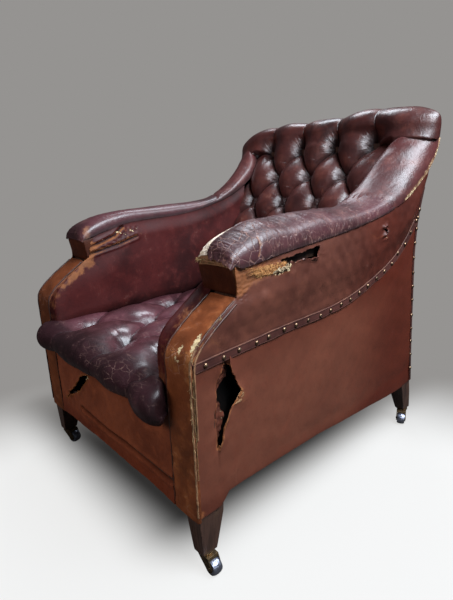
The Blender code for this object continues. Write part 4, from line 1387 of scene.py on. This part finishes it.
SIDE_LOW = Line([(0.0035, 0.140), (0.030, 0.1405), (0.055, 0.142), (0.066, 0.152), (0.079, 0.1665),
                 (0.12, 0.167), (0.22, 0.165), (0.38, 0.1625), (0.54, 0.151), (0.70, 0.141),
                 (0.78, 0.139), (0.847, 0.146)], smooth=False)
SIDE_HIGH = Line([(y, z - 0.004) for y, z in BAND])
SIDE_NEAR = Line([(0.0035, 0.140), (0.0035, 0.30), (0.0035, 0.448)], smooth=False)
SIDE_FAR = Line([(0.847, 0.146), *REAR[1:5], (0.802, 0.652)])


def side_place(side, seed):
    def place(u, v):
        flat = patch(SIDE_LOW, SIDE_HIGH, SIDE_NEAR, SIDE_FAR, u ** 1.12, v)
        x = PANEL_FACE + 0.0008 * uneven(flat, 0.20, seed)
        x += 0.0003 * uneven(flat, 0.035, seed + 1)
        x -= 0.0012 * hill(flat[:, 1] - 0.19, 0.02) * (flat[:, 0] > 0.1)
        if side > 0:
            away = from_line(flat, closed(SIDE_TEAR))
            left = flat[:, 0] < np.interp(flat[:, 1], (0.27, 0.35, 0.40, 0.44),
                                          (0.058, 0.075, 0.085, 0.086))
            curl = np.exp(-away / 0.012)
            x += np.where(left, -0.0035, 0.0045) * curl * (1 + 0.5 * uneven(flat, 0.03, 4))
            x += 0.002 * hill(np.hypot(flat[:, 0] - 0.128, flat[:, 1] - 0.352), 0.016)
        return np.c_[side * x, flat]
    return place


def outside_side(word, side, finish):
    piece = grid("outside_side_leather_" + word, 250, 110,
                 side_place(side, 101 if side > 0 else 111), (side, 0, 0))
    if side > 0:
        torn(piece, ragged(SIDE_TEAR, step=0.006, depth=0.0020, seed=21), [1, 2], reach=0.0018)
    thicken(piece, PANEL_LEATHER)
    flat = points_of(piece)[:, 1:]
    worn, bare = 0.5 * hill(flat[:, 0] - 0.0035, 0.004), 0
    if side > 0:
        away = from_line(flat, closed(SIDE_TEAR))
        foot = np.hypot(flat[:, 0] - 0.004, flat[:, 1] - 0.146)
        scuff = np.hypot(flat[:, 0] - 0.118, (flat[:, 1] - 0.360) * 0.8)
        worn += 0.85 * hill(foot, 0.012) + 0.55 * hill(away, 0.0035) + 0.5 * hill(scuff, 0.014)
        bare = 0.30 * hill(away, 0.0014)
    # Painted shade: a deeper red-brown towards the rear, at the bottom and under the band, and
    # darker along the bottom edge.
    rich = 0.9 * smoothstep(flat[:, 0], 0.42, 0.74) + 0.5 * smoothstep(flat[:, 1], 0.20, 0.15)
    rich += 0.38 * hill(from_line(flat, SIDE_HIGH.points[::5]), 0.045)
    mark(piece, crease=0.35 * hill(from_line(flat, SIDE_LOW.points), 0.004), worn=worn,
         bare=bare, rich=rich)
    finished(piece, finish, ("outside_side_" + word,))


BAND_NAILS = [(0.032, 0.453), (0.075, 0.455), (0.114, 0.459), (0.161, 0.460), (0.195, 0.463),
              (0.242, 0.466), (0.280, 0.466), (0.321, 0.467), (0.365, 0.467), (0.403, 0.471),
              (0.444, 0.476), (0.482, 0.480), (0.520, 0.489), (0.557, 0.500), (0.597, 0.512),
              (0.634, 0.524), (0.670, 0.538), (0.698, 0.562), (0.735, 0.581), (0.761, 0.610),
              (0.788, 0.639)]
REAR_NAILS = (0.667, 0.646, 0.616, 0.577, 0.536, 0.493, 0.452, 0.411, 0.364, 0.321, 0.280, 0.236,
              0.189)


def band(word, side, finish, nail):
    line = Line(BAND[:-1])

    def place(u, v):
        w = 2 * v - 1
        edge = smoothstep(np.abs(w), 0.80, 0.90) * smoothstep(np.abs(w), 1.0, 0.92)
        x = 0.3522 + 0.0006 * edge - 0.0012 * smoothstep(np.abs(w), 0.93, 1.0)
        flat = line.at(0.001 + u * 0.998)
        dimple = sum(hill(np.hypot(flat[:, 0] - y, 0.010 * w), 0.007) for y, _ in BAND_NAILS)
        x = x - 0.0006 * dimple + 0.0005 * uneven(flat * (1, 0.2), 0.05, 3)
        half = 0.0095 + 0.0005 * uneven(flat, 0.04, 5)
        flat = flat + line.side(u) * (w * half)[:, None]
        return np.c_[side * x, flat]

    piece = grid("nailed_band_leather_" + word, 330, 16, place, (side, 0, 0))
    thicken(piece, 0.0022)
    middle = from_line(points_of(piece)[:, 1:], line.points[::3])
    # Painted shade in the grooves inside the band's raised edges.
    mark(piece, worn=0.55 * smoothstep(middle, 0.0068, 0.0088) + 0.1,
         crease=0.5 * hill(middle - 0.006, 0.0012))
    finished(piece, finish, ("nailed_band_" + word,))
    places = [((side * 0.3528, y, z), (side, 0, 0)) for y, z in BAND_NAILS]
    depths, heights = zip(*REAR)
    places += [((side * 0.3512, np.interp(height, heights, depths) - 0.0045, height),
                (side, 0, 0)) for height in REAR_NAILS]
    nails = domes("upholstery_nails_" + word, places, 0.0050, 0.0034)
    finished(nails, nail, angle=80)

    count, rear = 120, Line(REAR)
    shares = np.linspace(0.0, 0.80, count)
    strip = [rear.at(shares) + rear.side(shares) * push for push in (-0.0002, 0.0090)]
    points = np.vstack([np.c_[np.full(count, side * x), row] for x in (0.3499, 0.3512)
                        for row in strip])
    faces = []
    for i in range(count - 1):
        a, b, c, d = (k * count + i for k in range(4))
        faces += [(a, b, b + 1, a + 1), (c, c + 1, d + 1, d), (a, a + 1, c + 1, c),
                  (b, d, d + 1, b + 1)]
    first = [k * count for k in (2, 3, 1, 0)]
    faces += [first, [i + count - 1 for i in first[::-1]]]
    edge = mesh_piece("rear_strip_" + word, points, faces)
    face_out(edge)
    # Painted shade over the whole strip.
    mark(edge, crease=0.45)
    finished(edge, finish)


FRONT_TEAR = [(-0.060, 0.316), (-0.082, 0.288), (-0.100, 0.270), (-0.125, 0.250),
              (-0.156, 0.233), (-0.190, 0.214), (-0.225, 0.194), (-0.205, 0.212),
              (-0.178, 0.238), (-0.150, 0.256), (-0.128, 0.276), (-0.105, 0.298)]


def border(finish):
    low = Line([(-0.2715, 0.132), (-0.23, 0.136), (0.0, 0.1375), (0.23, 0.136), (0.2715, 0.132)])
    high = Line([(-0.2715, 0.340), (0.0, 0.345), (0.2715, 0.340)])
    near = Line([(-0.2715, 0.132), (-0.2715, 0.236), (-0.2715, 0.340)], smooth=False)
    far = Line([(0.2715, 0.132), (0.2715, 0.236), (0.2715, 0.340)], smooth=False)
    fold = [(-0.13, 0.196), (-0.05, 0.192), (0.10, 0.190), (0.27, 0.186)]

    def place(u, v):
        flat = patch(low, high, near, far, u, v)
        y = -0.0005 - 0.004 * np.sin(np.clip(v, 0, 1) * math.pi) * np.sin(u * math.pi) ** 0.5
        away = from_line(flat, fold)
        y += 0.0060 * hill(away, 0.006)
        y -= 0.0020 * hill(away - 0.012, 0.006)
        y -= 0.0012 * uneven(flat, 0.12, 15) + 0.0004 * uneven(flat, 0.03, 16)
        away = from_line(flat, closed(FRONT_TEAR))
        y -= 0.005 * np.exp(-away / 0.012) * (1 + 0.6 * uneven(flat, 0.03, 17))
        return np.c_[flat[:, 0], y, flat[:, 1]]

    piece = grid("front_border_leather", 190, 90, place, (0, -1, 0))
    torn(piece, ragged(FRONT_TEAR, step=0.007, depth=0.0022, seed=31), [0, 2], reach=0.0016)
    thicken(piece, PANEL_LEATHER)
    flat = points_of(piece)[:, [0, 2]]
    away = from_line(flat, closed(FRONT_TEAR))
    ends = np.minimum(np.hypot(flat[:, 0] + 0.068, flat[:, 1] - 0.305),
                      np.hypot(flat[:, 0] + 0.205, flat[:, 1] - 0.216))
    # Painted shade in the fold and under the seat's lip, and a deeper red-brown towards the bottom.
    crease = np.maximum(hill(from_line(flat, fold), 0.0055),
                        0.6 * smoothstep(flat[:, 1], 0.290, 0.330))
    mark(piece, crease=crease, worn=0.12 + 0.5 * hill(away, 0.006),
         bare=0.25 * hill(away, 0.002) + 0.42 * hill(ends, 0.010),
         rich=0.5 * smoothstep(flat[:, 1], 0.20, 0.15))
    finished(piece, finish, ("front_border",))


def rear_panel(finish, nail):
    line = Line(REAR)

    def place(u, v):
        x = (2 * u - 1) * 0.3465
        push = 0.0002 + 0.0005 * uneven(np.c_[x, v], 0.25, 19)
        push += 0.0030 * smoothstep(np.abs(2 * u - 1), 0.975, 1.0)
        return np.c_[x, line.at(v) + line.side(v) * push[:, None]]

    piece = grid("outside_back_leather", 130, 150, place, (0, 1, 0))
    thicken(piece, PANEL_LEATHER)
    spots = points_of(piece)
    # Painted shade along the panel's sides.
    mark(piece, crease=0.4 * smoothstep(np.abs(spots[:, 0]), 0.335, 0.346),
         worn=0.25 * smoothstep(spots[:, 2], 0.30, 0.16))
    finished(piece, finish, ("outside_back",))
    spots = [(side * 0.3375, share, share) for share in np.linspace(0.03, 0.93, 18)
             for side in (1, -1)]
    spots += [(x, 0.025, 0.03) for x in np.linspace(-0.30, 0.30, 16)]
    places = []
    for x, share, facing_at in spots:
        out = -line.side(facing_at)
        places.append(((x, *(line.at(share) + out * 0.0004)), (0, *out)))
    finished(domes("rear_nails", places, 0.0044, 0.0030), nail, angle=80)


# What the tears show

def stuffing(made):
    """Arm stuffing under the leather, as horsehair shaped from the frame's stuffing."""
    for word, _ in SIDES:
        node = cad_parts["arm_stuffing_" + word]
        piece = node.copy()
        piece.data = node.data.copy()
        piece.name = "arm_horsehair_" + word
        for key in list(piece.keys()):
            del piece[key]
        bpy.context.scene.collection.objects.link(piece)
        piece.parent = None
        modify(piece, "WELD", merge_threshold=0.0001)
        modify(piece, "REMESH", mode="VOXEL", voxel_size=0.0055)
        place = points_of(piece)
        place[:, 0] -= 0.0012 * np.sign(place[:, 0].mean())
        rough = 0.0016 * uneven(place, 0.012, 3)
        normals = np.empty(len(piece.data.vertices) * 3)
        piece.data.vertices.foreach_get("normal", normals)
        place += normals.reshape(-1, 3) * (rough - 0.0062)[:, None]
        place_points(piece, place)
        finished(piece, made["hair"], ("arm_stuffing_" + word,))


def burst_end(made):
    """The right pad's burst front end: canvas, a frayed cream edge and loose tow."""
    seed = np.random.default_rng(77)

    def canvas(u, v):
        place = pad_shell(1, 0.02 + 2.6 * v, u, PAD_SEEDS["right"], 0.0040)
        place[:, 1] -= 0.0010 * uneven(place * (0.4, 1, 2.4), 0.012, 6) + 0.001
        return place

    piece = grid("burst_pad_canvas", 60, 40, canvas, (0, -1, 0.5))
    thicken(piece, 0.002)
    finished(piece, made["canvas"])

    def cotton(u, v):
        place = pad_shell(1, 0.72 + 4.4 * v, 0.50 + 0.50 * u, PAD_SEEDS["right"], 0.0016)
        return place + 0.0007 * uneven(place, 0.008, 12)[:, None]

    piece = grid("burst_pad_cotton", 60, 110, cotton, (-1, -1, 0.5))
    thicken(piece, 0.002)
    finished(piece, made["cotton"])

    paths, radii = [], []
    for _ in range(420):
        x = 0.3485 - 0.101 * seed.uniform(0, 1)
        start = np.array((x, 0.1068 - 0.002 * seed.random(), 0.6195 + 0.0012 * seed.normal()))
        way = np.array((seed.normal(0, 0.6), -0.6 - seed.random() * 0.5, seed.normal(-0.1, 0.5)))
        way /= np.linalg.norm(way)
        length = seed.uniform(0.002, 0.006)
        steps = np.linspace(0, 1, 4)[:, None]
        paths.append(start + way * steps * length + seed.normal(0, 0.0008, 3) * steps ** 2)
        radii.append(seed.uniform(0.0002, 0.0004))
    xs = np.linspace(0.3485, 0.2475, 60)
    for lift, thick in ((0.0, 0.0011), (0.0022, 0.0008)):
        paths.append(np.c_[xs, 0.1062 + 0.0008 * np.sin(xs * 300), 0.6193 + lift
                           + 0.0006 * np.sin(xs * 210)])
        radii.append(thick)
    fringe = tubes("burst_pad_fringe", paths, radii, 4)
    finished(fringe, made["thread"])

    tacks = [((x, 0.1075 + 0.0006 * (i % 2), 0.6235 + 0.0035 * (0.3475 - x) / 0.1), (0, -1, 0.2))
             for i, x in enumerate(np.linspace(0.325, 0.254, 8))]
    finished(domes("burst_pad_tacks", tacks, 0.0020, 0.0012), made["spring"])

    paths, radii = [], []
    for _ in range(90):
        y = 0.140 + 0.100 * seed.random() ** 0.8
        z = 0.5885 + 0.016 * seed.random() + 0.10 * max(0.0, 0.20 - y)
        length = seed.uniform(0.010, 0.032)
        way = np.array((0.0, 1.0, seed.normal(-0.05, 0.16)))
        way /= np.linalg.norm(way)
        steps = np.linspace(-0.5, 0.5, 9)[:, None]
        wave = 0.0006 * np.sin(steps * seed.uniform(5, 13) + seed.uniform(0, 6)) * (0, 0, 1)
        path = np.array((0.0, y, z)) + way * steps * length + wave
        path[:, 0] = 0.3528 + 0.0022 * np.sin((path[:, 2] - 0.562) / 0.055 * math.pi)
        paths.append(path)
        radii.append(seed.uniform(0.00015, 0.00032))
    tow = tubes("burst_seam_tow", paths, radii, 4)
    finished(tow, made["straw"])

    def wadding(u, v):
        y, z = 0.146 + 0.106 * u, 0.5800 + 0.030 * v
        x = 0.3522 + 0.0012 * np.sin(v * 3.1) + 0.0007 * uneven(np.c_[y, z], 0.006, 9)
        return np.c_[x, y, z]

    piece = grid("burst_seam_wadding", 60, 20, wadding, (1, 0, 0))
    outline = ragged([(0.150, 0.601), (0.185, 0.607), (0.246, 0.609), (0.250, 0.597),
                      (0.236, 0.588), (0.205, 0.584), (0.178, 0.583), (0.160, 0.590)],
                     step=0.003, depth=0.0018, seed=15)
    cut_to(piece, outline)
    thicken(piece, 0.0010)
    finished(piece, made["straw"])

    def rag(u, v):
        y, z = 0.190 + 0.066 * u, 0.583 + 0.024 * v
        x = 0.3555 + 0.003 * np.sin(v * 3.1) + 0.0015 * uneven(np.c_[y, z], 0.008, 8)
        return np.c_[x, y, z]

    outline = ragged([(0.196, 0.588), (0.214, 0.5975), (0.236, 0.599), (0.250, 0.605),
                      (0.254, 0.594), (0.240, 0.587), (0.220, 0.589)],
                     step=0.003, depth=0.0018, seed=5)
    piece = grid("torn_cotton_rag", 40, 18, rag, (1, 0, 0))
    cut_to(piece, outline)
    thicken(piece, 0.0012)
    finished(piece, made["rag"])


def linings(made):
    """Hessian tacked inside the frame, which the tears show, coloured near black as painted shade.
    """
    for word, side in SIDES:
        def place(u, v):
            y, z = 0.006 + 0.780 * u, 0.165 + 0.265 * v
            x = 0.3165 - 0.006 * np.sin(u * math.pi) * np.sin(v * math.pi)
            x -= 0.002 * uneven(np.c_[y, z], 0.08, 14)
            return np.c_[side * x, y, z]
        sheet = grid("side_lining_" + word, 60, 24, place, (side, 0, 0))
        thicken(sheet, 0.0012)
        finished(sheet, made["hessian"])

    def front(u, v):
        x, z = (2 * u - 1) * 0.268, 0.170 + 0.155 * v
        y = 0.036 + 0.004 * np.sin(v * math.pi) + 0.002 * uneven(np.c_[x, z], 0.07, 15)
        return np.c_[x, y, z]
    sheet = grid("front_lining", 50, 16, front, (0, -1, 0))
    thicken(sheet, 0.0012)
    finished(sheet, made["hessian"])


FLAPS = (("upper_torn_flap", [(0.0835, 0.440), (0.068, 0.418), (0.0585, 0.393), (0.060, 0.384)],
          [(0.091, 0.436), (0.096, 0.420), (0.086, 0.404), (0.066, 0.388)], 0.3455, 0.3360),
         ("lower_torn_flap", [(0.055, 0.352), (0.0565, 0.320), (0.0575, 0.290), (0.058, 0.272)],
          [(0.074, 0.346), (0.081, 0.332), (0.071, 0.306), (0.0605, 0.274)], 0.3440, 0.3390),
         ("middle_torn_flap", [(0.057, 0.378), (0.0585, 0.366), (0.056, 0.352), (0.055, 0.344)],
          [(0.064, 0.366), (0.071, 0.357), (0.068, 0.347), (0.058, 0.340)], 0.3450, 0.3405))


def tear_flaps(made):
    """Torn leather curled inside the side tear, and its pale back turned out at one edge."""
    for name, left, right, high, low in FLAPS:
        left, right = Line(left), Line(right)

        def place(u, v):
            flat = between(left, right, u, v)
            x = high + (low - high) * np.sin(u * math.pi / 2)
            x += 0.0014 * uneven(flat, 0.012, 4) + 0.0010 * np.sin(flat[:, 1] * 420) * u
            flat[:, 0] += 0.0012 * uneven(flat, 0.008, 5) * u
            return np.c_[x, flat]

        piece = grid(name, 18, 46, place, (1, 0, 0))
        thicken(piece, 0.0016)
        spots = points_of(piece)
        # Painted shade: the flaps inside the tear are darkened and tinted deeper red-brown.
        mark(piece, worn=0.25 * smoothstep(uneven(spots, 0.010, 4), 0.2, 0.9),
             crease=0.35 + 0.25 * uneven(spots, 0.014, 7),
             bare=0.5 * smoothstep(uneven(spots, 0.008, 9), 0.75, 1.1) * (spots[:, 2] < 0.37),
             rich=0.4)
        finished(piece, made["lower"])

    edge = Line([(0.1175, 0.3745), (0.108, 0.364), (0.0985, 0.352)])
    rim = Line([(0.1185, 0.3735), (0.1265, 0.362), (0.117, 0.351), (0.100, 0.351)])

    def turned(u, v):
        flat = between(edge, rim, u, v)
        x = 0.3505 + 0.0028 * np.sin(u * math.pi * 0.9) + 0.0005 * uneven(flat, 0.008, 6)
        return np.c_[x, flat]

    piece = grid("turned_out_leather", 22, 30, turned, (1, 0, 0))
    thicken(piece, 0.0014)
    finished(piece, made["suede"])


# Carried-over frame parts

def frame_parts(made):
    kinds = {"rail": "wood", "post": "wood", "castor_plate": "brass", "castor_horn": "brass",
             "castor_wheel": "steel", "strap": "jute", "spring_platform": "jute",
             "seat_spring": "spring"}
    for name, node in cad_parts.items():
        if node.hide_render:
            continue
        kind = next((k for word, k in kinds.items() if word in name), "wood")
        node.data.materials.clear()
        node.data.materials.append(made[kind])
        if kind in ("wood", "brass", "steel"):
            weld = node.modifiers.new("weld", "WELD")
            weld.merge_threshold = 0.00005
            bevel = node.modifiers.new("worn edges", "BEVEL")
            bevel.width = 0.0014 if kind == "wood" else 0.0005
            bevel.segments = 2
            bevel.limit_method = "ANGLE"
            bevel.angle_limit = math.radians(38)


# Room

WALL = (149, 147, 145)


def room():
    """A pale floor that ends in a grey wall, with a shadow painted on it under and around the
    chair.
    """
    deselect()
    bpy.ops.mesh.primitive_circle_add(vertices=128, radius=14, fill_type="NGON",
                                      location=(0, 0, 0))
    floor = bpy.context.object
    floor.name = "floor"
    finish = Finish("studio floor")
    seen = finish.node("LightPath", {}, {}, "Is Camera Ray")
    away = finish.node("VectorMath", {"operation": "DISTANCE"},
                       {0: finish.coords, 1: (0.915, -0.842, 0.0)}, "Value")
    across = finish.node("SeparateXYZ", {}, {0: finish.coords}, "X")
    depth = finish.node("SeparateXYZ", {}, {0: finish.coords}, "Y")
    # A painted shadow, darkest by the chair and fading out in front and to the sides, in both the
    # floor's colour and its glow.
    beside = ((across + 0.23).math("ABSOLUTE") - 0.40).most(0.0)
    before = (-0.33 - depth).most(0.0)
    dark = ((beside * beside + before * before * 0.9) ** 0.5).step(0.21, 0.01)
    dark = dark ** 1.4 * 0.97
    colour = finish.mix(seen, shade(78, 74, 70), shade(84, 83, 82))
    glow = finish.mix(dark, shade(229, 229, 228), (0, 0, 0))
    glow = finish.mix(seen, (0, 0, 0), glow)
    colour = finish.mix(dark, colour, shade(44, 38, 34))
    finish.set(Base_Color=colour, Roughness=0.9, Specular_IOR_Level=0.0, Emission_Color=glow,
               Emission_Strength=1.0)
    wall = finish.mix(seen, shade(60, 60, 60), shade(*WALL))
    wall = finish.node("Emission", {}, {"Color": wall})
    both = finish.node("MixShader", {}, {0: away.step(1.20, 1.82), 2: wall})
    finish.tree.links.new(finish.shader.outputs[0], both.socket.node.inputs[1])
    finish.tree.links.new(both.socket, finish.tree.nodes["Material Output"].inputs["Surface"])
    floor.data.materials.append(finish.material)

    world = bpy.data.worlds.new("studio")
    bpy.context.scene.world = world
    world.use_nodes = True
    tree = world.node_tree
    background = tree.nodes["Background"]
    path, blend = tree.nodes.new("ShaderNodeLightPath"), tree.nodes.new("ShaderNodeMix")
    blend.data_type = "RGBA"
    blend.inputs[6].default_value = (0.050, 0.052, 0.056, 1)
    blend.inputs[7].default_value = (*shade(*WALL), 1)
    tree.links.new(path.outputs["Is Camera Ray"], blend.inputs[0])
    tree.links.new(blend.outputs[2], background.inputs["Color"])


def light(name, place, aim, size, power, colour=(1, 1, 1), mirrored=True, fills=True):
    """A soft window. mirrored=False leaves out its highlights, and fills=False all but them."""
    lamp = bpy.data.lights.new(name, "AREA")
    lamp.shape = "RECTANGLE"
    lamp.size, lamp.size_y = size
    lamp.energy = power
    lamp.color = colour
    stand = bpy.data.objects.new(name, lamp)
    bpy.context.scene.collection.objects.link(stand)
    stand.location = place
    stand.rotation_euler = (Vector(aim) - Vector(place)).to_track_quat("-Z", "Y").to_euler()
    stand.visible_glossy = mirrored
    stand.visible_diffuse = fills


def lights():
    pale, plain = (0.84, 0.91, 1.0), (0.95, 0.96, 1.0)
    light("right window", (1.62, 0.17, 2.52), (0, 0, 0.5), (1.5, 1.0), 127, (0.82, 0.91, 1.0))
    light("low right window", (2.10, -0.45, 1.85), (0.1, 0.1, 0.7), (0.7, 1.0), 40, pale,
          fills=False)
    light("rear window", (1.00, 1.35, 2.50), (0, 0, 0.5), (1.2, 0.7), 26, pale)
    light("left window", (-2.6, 0.15, 0.90), (0, 0, 0.5), (1.3, 0.6), 7, pale, mirrored=False)
    light("far window", (-0.8, 1.05, 2.60), (0, 0, 0.4), (0.9, 0.6), 24, pale)
    light("rear fill", (-1.7, 2.3, 0.80), (0, 0, 0.5), (2.0, 1.2), 34, plain, mirrored=False)
    light("front fill", (-0.6, -2.75, 1.7), (0, 0, 0.45), (2.0, 1.2), 30, plain, mirrored=False)


def camera():
    azimuth, elevation, roll = map(math.radians, (48.289, 16.546, -1.926))
    behind = Vector((math.sin(azimuth) * math.cos(elevation),
                     -math.cos(azimuth) * math.cos(elevation), math.sin(elevation)))
    across = Vector((0, 0, 1)).cross(behind).normalized()
    up = behind.cross(across)
    c, s = math.cos(roll), math.sin(roll)
    matrix = Matrix((c * across + s * up, -s * across + c * up, behind)).transposed().to_4x4()
    matrix.translation = (0.9153, -0.4195 + FRONT, 0.7676)
    lens = bpy.data.cameras.new("camera")
    lens.lens, lens.sensor_width, lens.sensor_fit = 26.717, 36, "AUTO"
    lens.shift_x, lens.shift_y = 0.0020, 0.0166
    eye = bpy.data.objects.new("camera", lens)
    bpy.context.scene.collection.objects.link(eye)
    eye.matrix_world = matrix
    bpy.context.scene.camera = eye


def main():
    camera()
    room()
    lights()
    bpy.context.scene.view_settings.view_transform = "Standard"
    made = finishes()
    seat(made["seat"])
    back(made["back"])
    for word, side in SIDES:
        arm_pad(word, side, made)
        arm_end_block(word, side, made["block"])
        inside_arm(word, side, made["inside"])
        facing(word, side, made["facing"], made["piping"], made["thread"])
        outside_arm(word, side, made["outside"])
        outside_side(word, side, made["lower"])
        band(word, side, made["band"], made["nail"])
    border(made["border"])
    rear_panel(made["rear"], made["nail"])
    stuffing(made)
    burst_end(made)
    linings(made)
    tear_flaps(made)
    frame_parts(made)


main()
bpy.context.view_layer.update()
